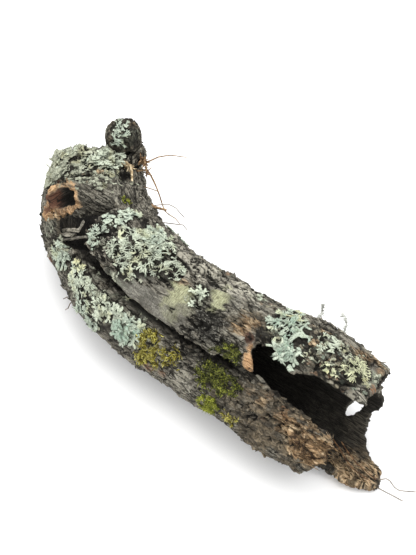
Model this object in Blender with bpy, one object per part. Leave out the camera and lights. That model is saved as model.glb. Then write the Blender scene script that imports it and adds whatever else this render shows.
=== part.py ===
"""A cork branch: one bent scroll of bark with a broken side branch, a stub, lichens, moss and roots.

Units are metres and degrees, +Z is up and the branch lies along +X on z = 0.
A place on the bark is given by a station, 0 at the broken far end and 8 at the near end,
and by an angle round the tube: 0 faces the front, 90 the top, 180 the back, 270 the ground.
Angles run on past 360 where the bark rolls in under its own free edge.
"""
import math

import bmesh
import bpy
from mathutils import Matrix, Vector, noise

MM = 0.001
GAP = 0.3 * MM                  # left between pieces that touch
ORIGIN = Vector((0.028416, -0.025546, 0))       # the middle of the whole branch, on the ground

# The bend of the branch: x, y and the outer radius of the bark at stations -1 to 9.
STATIONS = [
    (-0.150, -0.010, 0.0375),
    (-0.127, -0.024, 0.0382),
    (-0.101, -0.037, 0.0402),
    (-0.066, -0.047, 0.0440),
    (-0.028, -0.048, 0.0466),
    (0.010, -0.041, 0.0458),
    (0.047, -0.0295, 0.0452),
    (0.084, -0.016, 0.0457),
    (0.121, -0.003, 0.0461),
    (0.160, 0.010, 0.0456),
    (0.199, 0.023, 0.0456),
]
STATION_LENGTH = 0.038
BARK_REACH = 0.045              # the usual distance of the bark from the tube's axis
SUNK = 0.7 * MM                 # how much of the underside is worn flat

# The roll of the bark.
WALL = 6.5 * MM
ROLL_IN = 11.5 * MM             # how far the bark draws inwards in one turn
ROLL_STARTS = (1.5, 2.3)        # stations between which the closed tube opens into a roll
FREE_EDGE = 46.0
LIP_TURNS_IN = 4.0 * MM         # how far the free edge bends in towards the roll beneath it
LIP_ANGLE = 20.0                # how many degrees of bark bend in
LIP_WALL = 3.4 * MM             # the bark's thickness at the free edge
LOWER_ROLL_ANGLE = 345.0
LOWER_ROLL_WIDTHS = (28.0, 48.0)                # below and above that angle
LOWER_ROLL_SWELL = [(0, 0), (1.5, 1), (2.3, 7), (3, 9), (5, 9.5), (6, 10), (7, 10), (7.6, 8), (9, 6)]
GROOVE_DEPTH = 9.0 * MM         # how far the roll dives beneath the free edge
GROOVE_ANGLES = (392.0, 405.0)
SLIT_MIDDLE = (0.88, 125)       # station and angle of the slit near the stub
SLIT_REACH = 17 * MM
SLIT_FLOOR = 7.5 * MM           # how much thicker the bark is beneath it

# The free edge of the outer bark and the inner edge of the roll, as angles along the stations.
OUTER_EDGE = [(-1, 46), (2.3, 46), (2.5, 54), (3.2, 52), (3.8, 48), (4.3, 46), (5.5, 45.5), (5.76, 43.5),
              (5.8, 48), (6.2, 49), (6.5, 50), (9, 50)]
INNER_EDGE = [(-1, 410), (1.5, 410), (2.3, 428), (6.0, 428), (6.45, 408), (7.0, 404.5), (7.5, 401),
              (8.0, 397), (9, 397)]
FAR_END = [(40, -0.02), (90, -0.10), (144, -0.15), (180, -0.28), (225, -0.40), (270, -0.34), (310, -0.15),
           (340, 0.0), (440, -0.02)]
NEAR_END = [(40, 8.2), (80, 8.16), (115, 8.05), (140, 8.0), (165, 7.9), (185, 7.82), (198, 8.0),
            (207, 8.0), (217, 7.87), (229, 7.90), (240, 8.0), (250, 8.10), (258, 8.24), (264, 8.46),
            (275, 8.56), (285, 8.56), (293, 8.46), (298, 8.28), (302, 8.0), (306, 7.84), (313, 7.62),
            (326, 7.62), (345, 7.72), (358, 7.9), (374, 7.98), (440, 7.98)]

# Holes through the bark, as outlines of (station, angle).
WINDOW = [(6.50, 47), (6.37, 56), (6.23, 65), (6.19, 72), (6.28, 78), (6.45, 80), (6.72, 72), (7.0, 67),
          (7.15, 73), (7.3, 78), (7.55, 79), (7.9, 78), (8.1, 79), (8.7, 80), (8.7, 40), (6.6, 40)]
RECESS = [(1.70, 76), (1.66, 50), (1.72, 36), (1.86, 28), (2.10, 27), (2.30, 33), (2.50, 44), (2.60, 58),
          (2.43, 66), (2.33, 80), (2.22, 104), (1.90, 100)]
BACK_HOLE = [(7.49, 219), (7.55, 211), (7.66, 207), (7.73, 210), (7.71, 220), (7.62, 231), (7.54, 234),
             (7.48, 228)]

# Swellings and pits of the outer bark: station, angle, radius and height.
KNOTS = [
    (4.55, 118, 9 * MM, 2.6 * MM), (5.25, 122, 8 * MM, 2.2 * MM), (2.9, 124, 9 * MM, 2.4 * MM),
    (4.75, 108, 4 * MM, -3.0 * MM), (6.0, 58, 11 * MM, -2.4 * MM), (6.9, 110, 12 * MM, 2.2 * MM),
    (7.6, 98, 12 * MM, 1.8 * MM), (7.0, 128, 26 * MM, 4.5 * MM), (3.2, 75, 14 * MM, 1.8 * MM),
    (0.62, 123, 5 * MM, -6.5 * MM), (0.88, 126, 5 * MM, -7 * MM), (1.15, 124, 5.5 * MM, -7 * MM),
    (1.0, 70, 13 * MM, 1.8 * MM), (0.1, 52, 18 * MM, 4.0 * MM), (2.35, 8, 11 * MM, 2.6 * MM),
    (3.0, 0, 12 * MM, 1.6 * MM), (4.6, 20, 12 * MM, -1.4 * MM), (5.6, 10, 14 * MM, 1.8 * MM),
    (7.1, 20, 13 * MM, 2.0 * MM), (7.75, 372, 10 * MM, 2.4 * MM), (2.2, 170, 14 * MM, 2.4 * MM),
    (4.0, 200, 13 * MM, 2.6 * MM), (5.9, 168, 13 * MM, 2.4 * MM), (6.7, 215, 11 * MM, 2.2 * MM),
]

# The side branch crosses the top of the tube. Its foot is fused to the bark and its torn mouth is open.
BRANCH_ROOT = Vector((-0.0678, -0.0199, 0.0630))
BRANCH_FORK = Vector((-0.0760, -0.0330, 0.0715))
BRANCH_MOUTH = Vector((-0.0965, -0.0660, 0.0690))
BRANCH_RADIUS = 13.0 * MM
BRANCH_WALL = 5.0 * MM
BRANCH_SIDES = 14
BRANCH_RINGS = 6
BRANCH_ROOM = 1.6 * MM          # the space between the side branch and the bark it lies in
MOUTH_FACES = Vector((0.57, -0.36, 0.74))       # the way that the slanting mouth faces
MOUTH_SLANT = 0.95              # how far the mouth slants, as a share of the radius

# The stub of a twig stands at the far end, on a short collar of bark.
STUB_FOOT = Vector((-0.1175, -0.0015, 0.0760))
STUB_RADIUS = 13.6 * MM
STUB_HEIGHT = 18.0 * MM
STUB_SIDES = 14
STUB_PROFILE = [(0.00, 0.93), (0.12, 1.00), (0.40, 1.04), (0.66, 1.02), (0.84, 0.92), (0.95, 0.72),
                (1.0, 0.40)]
COLLAR_DEPTH = 16.0 * MM
COLLAR_RADII = (17.0 * MM, 16.5 * MM, 15.0 * MM, 13.5 * MM)

# Lichens on the bark, as outlines of (station, angle).
LICHENS = {
    "lichen_far_end": [(0.03, 32), (0.0, 50), (-0.02, 72), (0.0, 92), (0.12, 106), (0.40, 112),
        (0.74, 111), (1.0, 106), (1.10, 96), (1.05, 80), (0.96, 62), (0.86, 46), (0.74, 34), (0.5, 28)],
    "lichen_flap_tip": [(2.42, 80), (2.44, 96), (2.42, 110), (2.62, 114), (2.80, 110), (2.74, 98),
        (2.86, 90), (2.80, 82), (2.60, 78)],
    "lichen_flap_edge": [(2.56, 64), (2.56, 74), (2.72, 75), (2.86, 66), (2.84, 58), (2.70, 58)],
    "lichen_network": [(3.0, 72), (2.95, 88), (3.05, 102), (3.05, 114), (3.35, 121), (3.75, 114),
        (4.0, 104), (4.4, 95), (4.45, 84), (4.15, 78), (3.9, 70), (3.75, 58), (3.55, 56), (3.35, 62),
        (3.15, 64)],
    "lichen_leaf": [(4.74, 84), (4.80, 94), (4.92, 96), (5.06, 86), (4.97, 80), (5.0, 72), (4.85, 76)],
    "lichen_roof": [(6.12, 98), (6.22, 112), (6.25, 128), (6.50, 118), (6.72, 108), (6.92, 100),
        (6.92, 92), (6.70, 88), (6.50, 90), (6.30, 92)],
    "lichen_roof_side": [(7.05, 98), (7.04, 110), (7.22, 112), (7.36, 106), (7.32, 96), (7.15, 94)],
    "lichen_coral": [(7.58, 88), (7.60, 98), (7.62, 108), (7.74, 112), (7.88, 108), (7.97, 100),
        (7.90, 91), (7.74, 86)],
    "lichen_lower_top": [(2.0, 366), (1.98, 372), (2.12, 377), (2.28, 384), (2.44, 388), (2.42, 376),
        (2.22, 366)],
    "lichen_lower_cream": [(2.50, 384), (2.80, 392), (3.10, 391), (3.26, 386), (3.10, 376),
        (2.85, 370), (2.62, 372)],
    "lichen_lower_small": [(2.98, 366), (3.02, 371), (3.18, 373), (3.26, 368), (3.20, 360), (3.04, 358)],
    "lichen_lower_broad": [(3.32, 382), (3.45, 391), (3.65, 391), (3.80, 389), (3.90, 384),
        (3.80, 374), (3.55, 369), (3.36, 372)],
    "lichen_lower_mint": [(3.82, 372), (3.96, 384), (4.12, 391), (4.28, 390), (4.33, 380), (4.24, 370),
        (4.05, 363), (3.90, 364)],
    "lichen_lower_ring": [(3.26, 358), (3.30, 364), (3.46, 364), (3.54, 358), (3.46, 352), (3.33, 352)],
    "lichen_back_upper": [(2.7, 158), (2.85, 168), (3.1, 170), (3.35, 164), (3.4, 152), (3.1, 147),
        (2.85, 149)],
    "lichen_back_lower": [(5.0, 182), (5.1, 193), (5.35, 196), (5.5, 188), (5.4, 177), (5.2, 174)],
}
LICHEN_HEIGHT = 2.4 * MM
STUB_LICHEN_SIDES = [(0.5, Vector((0, 0, -1))), (0.5, Vector((0.21, 0.98, 0))),
                     (0.5, Vector((-0.95, -0.31, 0)))]     # how far up each cut is, and the way it faces
DROPPING_LICHEN = [(6.50, 80), (6.62, 86), (6.86, 86), (7.02, 80), (7.00, 70), (6.86, 63), (6.68, 63),
                   (6.52, 72)]

# Cushions and strands of moss: outline and height.
MOSSES = {
    "moss_yellow": ([(4.40, 379), (4.42, 388), (4.52, 391), (4.66, 386), (4.64, 376),
        (4.48, 374)], 3.5 * MM),
    "moss_low": ([(4.36, 362), (4.50, 370), (4.72, 371), (4.78, 366), (4.62, 360),
        (4.42, 357)], 2.6 * MM),
    "moss_strands": ([(4.72, 376), (4.86, 387), (5.06, 388), (5.12, 378), (4.95, 371),
        (4.78, 370)], 2.2 * MM),
    "moss_bank": ([(5.50, 385), (5.60, 394), (5.90, 397), (6.16, 395), (6.30, 390),
        (6.20, 380), (5.95, 376), (5.65, 378)], 3.8 * MM),
    "moss_edge": ([(5.66, 51), (5.68, 55), (5.82, 58), (5.98, 60), (6.08, 58), (6.12, 53),
        (6.06, 51)], 2.8 * MM),
    "moss_tuft": ([(5.68, 359), (5.80, 367), (5.98, 369), (6.10, 363), (6.02, 354),
        (5.80, 352)], 4.0 * MM),
    "moss_end": ([(6.20, 362), (6.38, 367), (6.62, 368), (6.64, 362), (6.44, 357),
        (6.26, 357)], 2.2 * MM),
    "moss_spot": ([(2.0, 110), (2.0, 116), (2.13, 117), (2.16, 110)], 1.8 * MM),
}

# Roots and hairs: first and last radius, then the points of the route, in millimetres before ORIGIN.
ROOTS = {
    "root_long": (0.9, 0.35, [(-104.5, -0.5, 65.5), (-101.5, 4.5, 66.5), (-100.2, 10.8, 66.1),
        (-99.6, 17.5, 67.5), (-96.4, 26.2, 67.9), (-93.3, 31.4, 66.7), (-89.6, 37.2, 65.3)]),
    "root_hanging": (0.9, 0.35, [(-100.0, -1.5, 62.0), (-97.2, 6.6, 62.0), (-90.7, 7.6, 56.0),
        (-85.5, 7.6, 50.9), (-81.6, 7.6, 46.6), (-77.0, 7.2, 41.2), (-73.6, 7.0, 37.4),
        (-70.3, 9.0, 35.0), (-66.7, 12.0, 33.0), (-62.4, 13.8, 29.3)]),
    "root_knee": (1.5, 0.9, [(-67.5, -13.5, 62.0), (-62.9, -7.6, 58.4), (-59.4, -4.2, 57.2),
        (-56.2, -1.0, 56.6)]),
    "root_fork": (0.5, 0.4, [(-85.0, -3.5, 58.5), (-81.5, 2.2, 56.0), (-79.4, 5.4, 54.2)]),
    "hair_upper": (0.3, 0.25, [(-58.5, -9.5, 64.0), (-57.0, 1.6, 61.0), (-54.0, 5.8, 57.4),
        (-47.6, 9.2, 50.4)]),
    "hair_lower": (0.3, 0.25, [(-50.0, -9.0, 53.5), (-43.3, 1.6, 51.2), (-42.0, 4.6, 50.3),
        (-38.7, 6.0, 47.2)]),
    "root_tuft": (1.2, 0.6, [(-107.5, -2.5, 66.5), (-104.6, 4.2, 69.6), (-100.6, 6.0, 68.6),
        (-96.0, 5.2, 65.4), (-92.6, 3.4, 62.0)]),
    "root_slit": (1.1, 0.8, [(-103.0, -8.5, 67.5), (-97.5, -7.4, 72.6), (-92.0, -9.0, 71.0),
        (-85.5, -12.6, 68.4), (-82.0, -15.5, 65.0)]),
    "hair_left_upper": (0.35, 0.25, [(-39.5, -88.5, 32.5), (-39.6, -93.2, 31.8), (-40.5, -96.4, 30.7)]),
    "hair_left_lower": (0.35, 0.25, [(-38.0, -88.5, 28.5), (-36.4, -93.6, 27.4), (-34.9, -95.6, 25.4),
        (-35.6, -98.0, 24.5)]),
    "beard_far": (0.9, 0.4, [(91.8, 25.5, 62.0), (91.0, 31.4, 66.8), (88.9, 32.8, 69.0),
        (88.0, 33.9, 71.0)]),
    "beard_near": (1.0, 0.5, [(109.5, 32.0, 59.0), (108.2, 38.0, 63.6), (105.5, 40.4, 66.8),
        (102.7, 41.2, 69.2), (101.0, 39.6, 69.4)]),
    "rootlet_long": (0.8, 0.5, [(138.5, 5.6, 11.0), (147.3, 5.4, 10.6), (154.5, 4.6, 10.8),
        (163.2, 2.8, 11.4), (171.8, 2.6, 11.6), (178.3, 4.6, 11.0), (184.6, 7.6, 9.4)]),
    "rootlet_short": (0.7, 0.5, [(150.5, 9.0, 10.6), (160.0, 7.6, 10.8), (169.0, 7.2, 11.0),
        (178.0, 9.4, 10.2), (184.8, 11.4, 9.2)]),
    "hair_near_low": (0.3, 0.25, [(176.0, 3.5, 5.0), (182.9, 7.0, 5.6), (187.7, 10.4, 4.8),
        (192.9, 13.5, 3.5), (197.3, 16.8, 2.0), (202.5, 20.0, 0.9)]),
    "hair_near_high": (0.3, 0.25, [(180.0, 12.0, 5.5), (185.6, 13.8, 8.4), (187.3, 17.3, 9.0),
        (189.5, 18.8, 8.0), (193.5, 19.2, 6.0), (196.4, 21.2, 4.0), (199.6, 26.2, 3.0),
        (202.2, 30.8, 2.0)]),
}

# Thin strips of torn bark in the recess: half width and half thickness, the way that the flat side
# faces, then the points of the route.
EDGE_ON = Vector((-0.63, 0.39, 0.67))
TURNED = Vector((-0.30, 0.16, 0.90))
BROAD = Vector((0.45, -0.28, 0.85))
STRIPS = {
    "bark_strip_long": (3.4, 0.8, EDGE_ON, [(-84.8, -80.9, 44.3), (-76.6, -78.6, 49.4),
        (-65.9, -75.0, 57.8), (-57.9, -71.9, 64.9), (-49.6, -69.2, 71.6), (-45.2, -68.2, 74.2)]),
    "bark_strip_short": (3.6, 1.0, TURNED, [(-88.9, -79.7, 43.8), (-80.6, -77.4, 50.6),
        (-72.1, -74.4, 57.2), (-64.8, -72.8, 61.2)]),
    "bark_chip": (1.8, 0.6, BROAD, [(-84.0, -73.3, 49.8), (-75.7, -71.7, 57.1), (-66.8, -70.7, 63.7),
        (-60.6, -69.4, 68.3), (-60.4, -67.5, 72.0), (-59.9, -65.0, 75.9)]),
}


def table(x, rows):
    """The value at x of a list of (x, value) joined by straight lines."""
    if x <= rows[0][0]:
        return rows[0][1]
    for (x0, y0), (x1, y1) in zip(rows, rows[1:]):
        if x <= x1:
            return y0 + (y1 - y0) * (x - x0) / (x1 - x0)
    return rows[-1][1]


def ease(x, low, high):
    """0 below low, 1 above high and a smooth rise between."""
    f = min(max((x - low) / (high - low), 0.0), 1.0)
    return f * f * (3 - 2 * f)


def station(t):
    """x, y and outer radius at station t, on a smooth curve through STATIONS."""
    place = min(max(t + 1, 0.0), len(STATIONS) - 1.001)
    i = int(place)
    f = place - i
    rows = [Vector(STATIONS[min(max(j, 0), len(STATIONS) - 1)]) for j in (i - 1, i, i + 1, i + 2)]
    a, b, c, d = rows
    return 0.5 * (2 * b + (c - a) * f + (2 * a - 5 * b + 4 * c - d) * f ** 2
                  + (3 * b - a - 3 * c + d) * f ** 3)


def rolled(t):
    """0 where the tube is closed at the far end and 1 where it is a roll with a free edge."""
    return ease(t, 2.3, 2.6)


def free_edge(t, angle):
    """1 at the free edge of the outer bark, where it bends in, and 0 away from it."""
    return rolled(t) * (1 - ease(t, 6.0, 6.4)) * (1 - ease(angle, FREE_EDGE, FREE_EDGE + LIP_ANGLE))


def distance(t, angle, other_t, other_angle):
    """How far apart two places on the bark are, measured along it."""
    return math.hypot((t - other_t) * STATION_LENGTH, math.radians(angle - other_angle) * BARK_REACH)


def wall(t, angle):
    """The bark's thickness: less at the free edge, more under the deep slit at the far end."""
    under_slit = math.exp(-(distance(t, angle, *SLIT_MIDDLE) / SLIT_REACH) ** 2)
    return WALL + (LIP_WALL - WALL) * free_edge(t, angle) + SLIT_FLOOR * under_slit


def roll_radius(t, angle):
    """Distance from the tube's axis to the outer face of the bark, before its relief."""
    turn = ROLL_IN * ease(t, *ROLL_STARTS) * (angle - FREE_EDGE) / 360
    width = LOWER_ROLL_WIDTHS[angle > LOWER_ROLL_ANGLE]
    swell = table(t, LOWER_ROLL_SWELL) * MM * math.exp(-((angle - LOWER_ROLL_ANGLE) / width) ** 2)
    groove = GROOVE_DEPTH * rolled(t) * (1 - ease(t, 5.8, 6.3)) * ease(angle, *GROOVE_ANGLES)
    return station(t).z - turn + swell - groove - LIP_TURNS_IN * free_edge(t, angle)


def axes(t):
    """The tube's centre, and the level direction that faces the front, at station t."""
    here = station(t)
    along = (station(t + 0.05) - station(t - 0.05)).xy.normalized()
    centre = Vector((here.x, here.y, roll_radius(t, 270) - SUNK))
    return centre, Vector((along.y, -along.x, 0))


def relief(t, angle):
    """Lumps, ridges along the grain and knots of the outer bark."""
    turn = math.radians(angle)
    spot = Vector((t * STATION_LENGTH, BARK_REACH * math.cos(turn), BARK_REACH * math.sin(turn)))
    lump = noise.noise(Vector((spot.x / 0.030, spot.y / 0.016, spot.z / 0.016)))
    ridge = noise.noise(Vector((spot.x / 0.016 + 7, spot.y / 0.006, spot.z / 0.006)))
    height = 1.9 * MM * lump + 0.8 * MM * ridge
    for knot_t, knot_angle, radius, size in KNOTS:
        away = distance(t, angle, knot_t, knot_angle)
        if away < 2.5 * radius:
            height += size * math.exp(-(away / radius) ** 2)
    return height * (1 - 0.8 * ease(angle, 390, 405))


def bark_point(t, angle, depth=0.0):
    """A point at a depth below the outer face of the bark; the relief fades out with depth."""
    centre, front = axes(t)
    radius = roll_radius(t, angle) + relief(t, angle) * (1 - ease(depth, 0, LIP_WALL)) - depth
    turn = math.radians(angle)
    return centre + radius * (math.cos(turn) * front + Vector((0, 0, math.sin(turn))))


def material(name, colour, roughness):
    """A plain natural surface."""
    surface = bpy.data.materials.new(name)
    surface.use_nodes = True
    shader = surface.node_tree.nodes["Principled BSDF"]
    shader.inputs["Base Color"].default_value = (*colour, 1)
    shader.inputs["Roughness"].default_value = roughness
    shader.inputs["Metallic"].default_value = 0.0
    return surface


def add_object(name, bm, surface):
    """An object with the given mesh, with the origin moved to the middle of the branch."""
    bmesh.ops.recalc_face_normals(bm, faces=bm.faces)
    mesh = bpy.data.meshes.new(name)
    bm.to_mesh(mesh)
    bm.free()
    mesh.materials.append(surface)
    mesh.shade_smooth()
    mesh.set_sharp_from_angle(angle=math.radians(50))
    thing = bpy.data.objects.new(name, mesh)
    bpy.context.scene.collection.objects.link(thing)
    thing.location = -ORIGIN
    return thing


def as_guide(thing):
    """Marks an object as a cutter that is no part of the branch."""
    thing.hide_render = True
    thing.display_type = "WIRE"
    return thing


def cut(thing, cutter):
    """Takes the cutter's shape out of an object."""
    step = thing.modifiers.new(cutter.name, "BOOLEAN")
    step.operation = "DIFFERENCE"
    step.solver = "EXACT"
    step.object = cutter


def tube(bm, path, radii, sides, upward=1.0):
    """A closed tube along a path, with a radius for each point; upward stretches its upper half."""
    loops = []
    last = len(path) - 1
    for i, (spot, radius) in enumerate(zip(path, radii)):
        along = path[min(i + 1, last)] - path[max(i - 1, 0)]
        place = Matrix.Translation(spot) @ along.to_track_quat("Z", "Y").to_matrix().to_4x4()
        made = bmesh.ops.create_circle(bm, segments=sides, radius=radius, matrix=place,
                                       cap_ends=i in (0, last))
        for vert in made["verts"]:
            vert.co.z += max(vert.co.z - spot.z, 0) * (upward - 1)
        corners = set(made["verts"])
        loops.append([e for e in bm.edges if corners.issuperset(e.verts)])
    for low, high in zip(loops, loops[1:]):
        bmesh.ops.bridge_loops(bm, edges=low + high)


DEGREE = 0.02                   # stations per degree on the flat sheet that the bark is rolled from


def inside(x, y, outline):
    """Whether a point lies inside an outline."""
    result = False
    for (x0, y0), (x1, y1) in zip(outline, outline[1:] + outline[:1]):
        if (y0 > y) != (y1 > y) and x < x0 + (x1 - x0) * (y - y0) / (y1 - y0):
            result = not result
    return result


def everything(faces):
    """Faces with their edges and corners, as the cutting operator wants them."""
    return faces + list({e for f in faces for e in f.edges}) + list({v for f in faces for v in f.verts})


def remove_outline(bm, outline):
    """Takes the inside of an outline of (station, angle) out of the flat sheet."""
    flat = [(t, angle * DEGREE) for t, angle in outline]
    margin = 0.1
    for (x0, y0), (x1, y1) in zip(flat, flat[1:] + flat[:1]):
        near = []
        for face in bm.faces:
            spot = face.calc_center_median()
            beside = min(x0, x1) - margin <= spot.x <= max(x0, x1) + margin
            if beside and min(y0, y1) - margin <= spot.y <= max(y0, y1) + margin:
                near.append(face)
        bmesh.ops.bisect_plane(bm, geom=everything(near), plane_co=(x0, y0, 0),
                               plane_no=(y1 - y0, x0 - x1, 0))
    gone = [f for f in bm.faces if inside(f.calc_center_median().x, f.calc_center_median().y, flat)]
    bmesh.ops.delete(bm, geom=gone, context="FACES")


def thicken_and_roll(bm, top, bottom):
    """Makes a solid of the flat sheet between two depths, given by functions, and rolls it up."""
    raised = bmesh.ops.extrude_face_region(bm, geom=list(bm.faces), use_keep_orig=True)
    upper = {v for v in raised["geom"] if isinstance(v, bmesh.types.BMVert)}
    for vert in bm.verts:
        t, angle = vert.co.x, vert.co.y / DEGREE
        depth = top(t, angle) if vert in upper else bottom(t, angle)
        vert.co = bark_point(t, angle, depth)


BARK_COLUMNS = 120
BARK_ROWS = 110
VOXEL = 1.3 * MM
BARK_KEPT = 0.0205              # share of the fine faces that the finished bark keeps
TORN = 0.05                     # how far the torn ends wander, in stations
FRAYED = 1.6                    # how far the edges wander, in degrees


def sheet_of_bark():
    """The flat sheet of bark with its torn ends and edges and its holes."""
    bm = bmesh.new()
    bmesh.ops.create_grid(bm, x_segments=BARK_COLUMNS, y_segments=BARK_ROWS, size=0.5)
    for vert in bm.verts:
        share, turned = vert.co.x + 0.5, vert.co.y + 0.5
        usual_t = 8.3 * share
        angle = table(usual_t, OUTER_EDGE) * (1 - turned) + table(usual_t, INNER_EDGE) * turned
        far, near = table(angle, FAR_END), table(angle, NEAR_END)
        torn = TORN * noise.noise(Vector((angle / 9, share * 40, 3)))
        t = far + (near - far) * share + torn * (1 - ease(min(share, 1 - share), 0.0, 0.02))
        frayed = FRAYED * noise.noise(Vector((t / 0.22, 5, turned * 3)))
        angle += frayed * (1 - ease(min(turned, 1 - turned), 0.0, 0.03))
        vert.co = (t, angle * DEGREE, 0)
    inner_recess = [(t, angle + 360) for t, angle in RECESS]
    for outline in (WINDOW, RECESS, inner_recess, BACK_HOLE):
        remove_outline(bm, outline)
    return bm


def add_fork_shoulder(bm):
    """The swelling of bark where the side branch leaves the tube."""
    along = (BRANCH_MOUTH - BRANCH_FORK).normalized()
    end = BRANCH_FORK + along * 4 * MM
    path = [BRANCH_ROOT, BRANCH_ROOT.lerp(end, 0.4), BRANCH_ROOT.lerp(end, 0.7), end]
    tube(bm, path, [8.5 * MM, 11.5 * MM, 13 * MM, BRANCH_RADIUS], BRANCH_SIDES)


def add_stub_collar(bm):
    """The raised ring of bark that the stub stands on."""
    top = STUB_FOOT + Vector((0, 0, MM))
    low = top - Vector((0, 0, COLLAR_DEPTH))
    path = [low.lerp(top, i / 3) for i in range(4)]
    tube(bm, path, COLLAR_RADII, STUB_SIDES)


def branch_room(surface):
    """The space that the side branch lies in, with a flat face at the fork, open above."""
    bm = bmesh.new()
    along = (BRANCH_MOUTH - BRANCH_FORK).normalized()
    room = BRANCH_RADIUS + BRANCH_ROOM
    tube(bm, [BRANCH_FORK, BRANCH_MOUTH + along * 15 * MM], [room, room], 18, upward=1.6)
    return as_guide(add_object("branch_room", bm, surface))


def stub_room(surface):
    """The space above the flat seat of the stub."""
    bm = bmesh.new()
    room = STUB_RADIUS + 1.8 * MM
    tube(bm, [STUB_FOOT, STUB_FOOT + Vector((0, 0, 2 * STUB_HEIGHT))], [room, room], 18)
    return as_guide(add_object("stub_room", bm, surface))


def ground(surface):
    """A block below z = 0, which cuts the flat patches that the branch rests on."""
    bm = bmesh.new()
    bmesh.ops.create_cube(bm, size=1)
    bmesh.ops.scale(bm, vec=(0.6, 0.4, 0.05), verts=bm.verts)
    bmesh.ops.translate(bm, vec=(0, 0, -0.025), verts=bm.verts)
    return as_guide(add_object("ground", bm, surface))


def bark_tube(surface):
    """The main scroll of bark, one piece, torn at both ends and worn flat underneath."""
    bm = sheet_of_bark()
    thicken_and_roll(bm, lambda t, angle: 0.0, wall)
    add_fork_shoulder(bm)
    add_stub_collar(bm)
    thing = add_object("bark_tube", bm, surface)
    fuse = thing.modifiers.new("fuse", "REMESH")
    fuse.mode = "VOXEL"
    fuse.voxel_size = VOXEL
    facets = thing.modifiers.new("facets", "DECIMATE")
    facets.decimate_type = "COLLAPSE"
    facets.ratio = BARK_KEPT
    for cutter in (branch_room, stub_room, ground):
        cut(thing, cutter(surface))
    return thing


def clearance(thing, name):
    """A cutter that has the shape of a finished object, grown by the gap."""
    shape = thing.evaluated_get(bpy.context.evaluated_depsgraph_get())
    bm = bmesh.new()
    bm.from_mesh(shape.to_mesh())
    bm.normal_update()
    moves = [(vert, vert.normal * min(vert.calc_shell_factor(), 3)) for vert in bm.verts]
    for vert, way in moves:
        vert.co += way * GAP
    return as_guide(add_object(name, bm, thing.data.materials[0]))


def side_branch(surface):
    """The hollow side branch: a tube of bark with a slanting, torn mouth."""
    bm = bmesh.new()
    along = (BRANCH_MOUTH - BRANCH_FORK).normalized()
    turned = along.to_track_quat("Z", "Y").to_matrix().to_4x4()
    length = (BRANCH_MOUTH - BRANCH_FORK).length
    loops = []
    outward = [(i / BRANCH_RINGS, BRANCH_RADIUS) for i in range(BRANCH_RINGS + 1)]
    inward = [(share, BRANCH_RADIUS - BRANCH_WALL) for share, radius in reversed(outward)]
    for share, radius in outward + inward:
        base = BRANCH_FORK + along * (GAP + (length - GAP) * share)
        made = bmesh.ops.create_circle(bm, segments=BRANCH_SIDES, radius=radius,
                                       matrix=Matrix.Translation(base) @ turned)
        for vert in made["verts"]:
            side = (vert.co - base).normalized()
            rough = 1.1 * MM * noise.noise(side * 3 + along * share * 4)
            torn = 3.5 * MM * noise.noise(side * 1.6) - MOUTH_SLANT * BRANCH_RADIUS * side.dot(MOUTH_FACES)
            vert.co += side * rough + along * torn * share
        corners = set(made["verts"])
        loops.append([e for e in bm.edges if corners.issuperset(e.verts)])
    for low, high in zip(loops, loops[1:] + loops[:1]):
        bmesh.ops.bridge_loops(bm, edges=low + high)
    return add_object("side_branch", bm, surface)


def barrel(bm, grown):
    """The shape of the stub, a short barrel with a rounded, weathered end, grown by a distance."""
    foot = STUB_FOOT + Vector((0, 0, GAP))
    path = [foot + Vector((0, 0, STUB_HEIGHT * rise)) for rise, width in STUB_PROFILE]
    tube(bm, path, [STUB_RADIUS * width + grown for rise, width in STUB_PROFILE], STUB_SIDES)
    for vert in bm.verts:
        side = (vert.co - foot).xy.to_3d().normalized()
        rise = (vert.co.z - foot.z) / STUB_HEIGHT
        rough = 1.2 * MM * noise.noise(side * 1.6 + Vector((0, 0, rise * 2.2)))
        vert.co += side * rough + Vector((0, 0, rough * ease(rise, 0.3, 0.9)))


def branch_stub(surface):
    """The stub of a broken twig."""
    bm = bmesh.new()
    barrel(bm, 0)
    return add_object("branch_stub", bm, surface)


def stub_lichen(surface, cutter):
    """The lichen on the side of the stub that faces along the branch."""
    bm = bmesh.new()
    barrel(bm, LICHEN_HEIGHT)
    for share, way in STUB_LICHEN_SIDES:
        geom = list(bm.faces) + list(bm.edges) + list(bm.verts)
        edge = STUB_FOOT + Vector((0, 0, STUB_HEIGHT * share))
        bmesh.ops.bisect_plane(bm, geom=geom, plane_co=edge, plane_no=way, clear_outer=True)
        bmesh.ops.holes_fill(bm, edges=[e for e in bm.edges if e.is_boundary])
    cut(add_object("lichen_stub", bm, surface), cutter)


CELL = 0.27                     # the size of the facets of a growth, in stations


def growth(name, outline, top, bottom, surface, cutter):
    """A low growth on the bark, following it, and cut to clear it."""
    bm = bmesh.new()
    corners = [Vector((t, angle * DEGREE, 0)) for t, angle in outline]
    bm.faces.new([bm.verts.new(corner) for corner in corners])
    for axis in (0, 1):
        normal = Vector((axis == 0, axis == 1, 0))
        low = min(corner[axis] for corner in corners)
        high = max(corner[axis] for corner in corners)
        count = max(int((high - low) / CELL), 1)
        for i in range(1, count):
            line = normal * (low + (high - low) * i / count)
            bmesh.ops.bisect_plane(bm, geom=everything(list(bm.faces)), plane_co=line, plane_no=normal)
    bmesh.ops.triangulate(bm, faces=bm.faces)
    thicken_and_roll(bm, top, bottom)
    cut(add_object(name, bm, surface), cutter)


def crown(height):
    """The top of a growth: its height over the bark, with gentle lumps, as a depth above it."""
    return lambda t, angle: -height * (0.85 + 0.3 * noise.noise(Vector((t / 0.3, angle / 9, height * 900))))


def rooted(depth):
    """The underside of a growth, at one depth in the bark."""
    return lambda t, angle: depth


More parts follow.
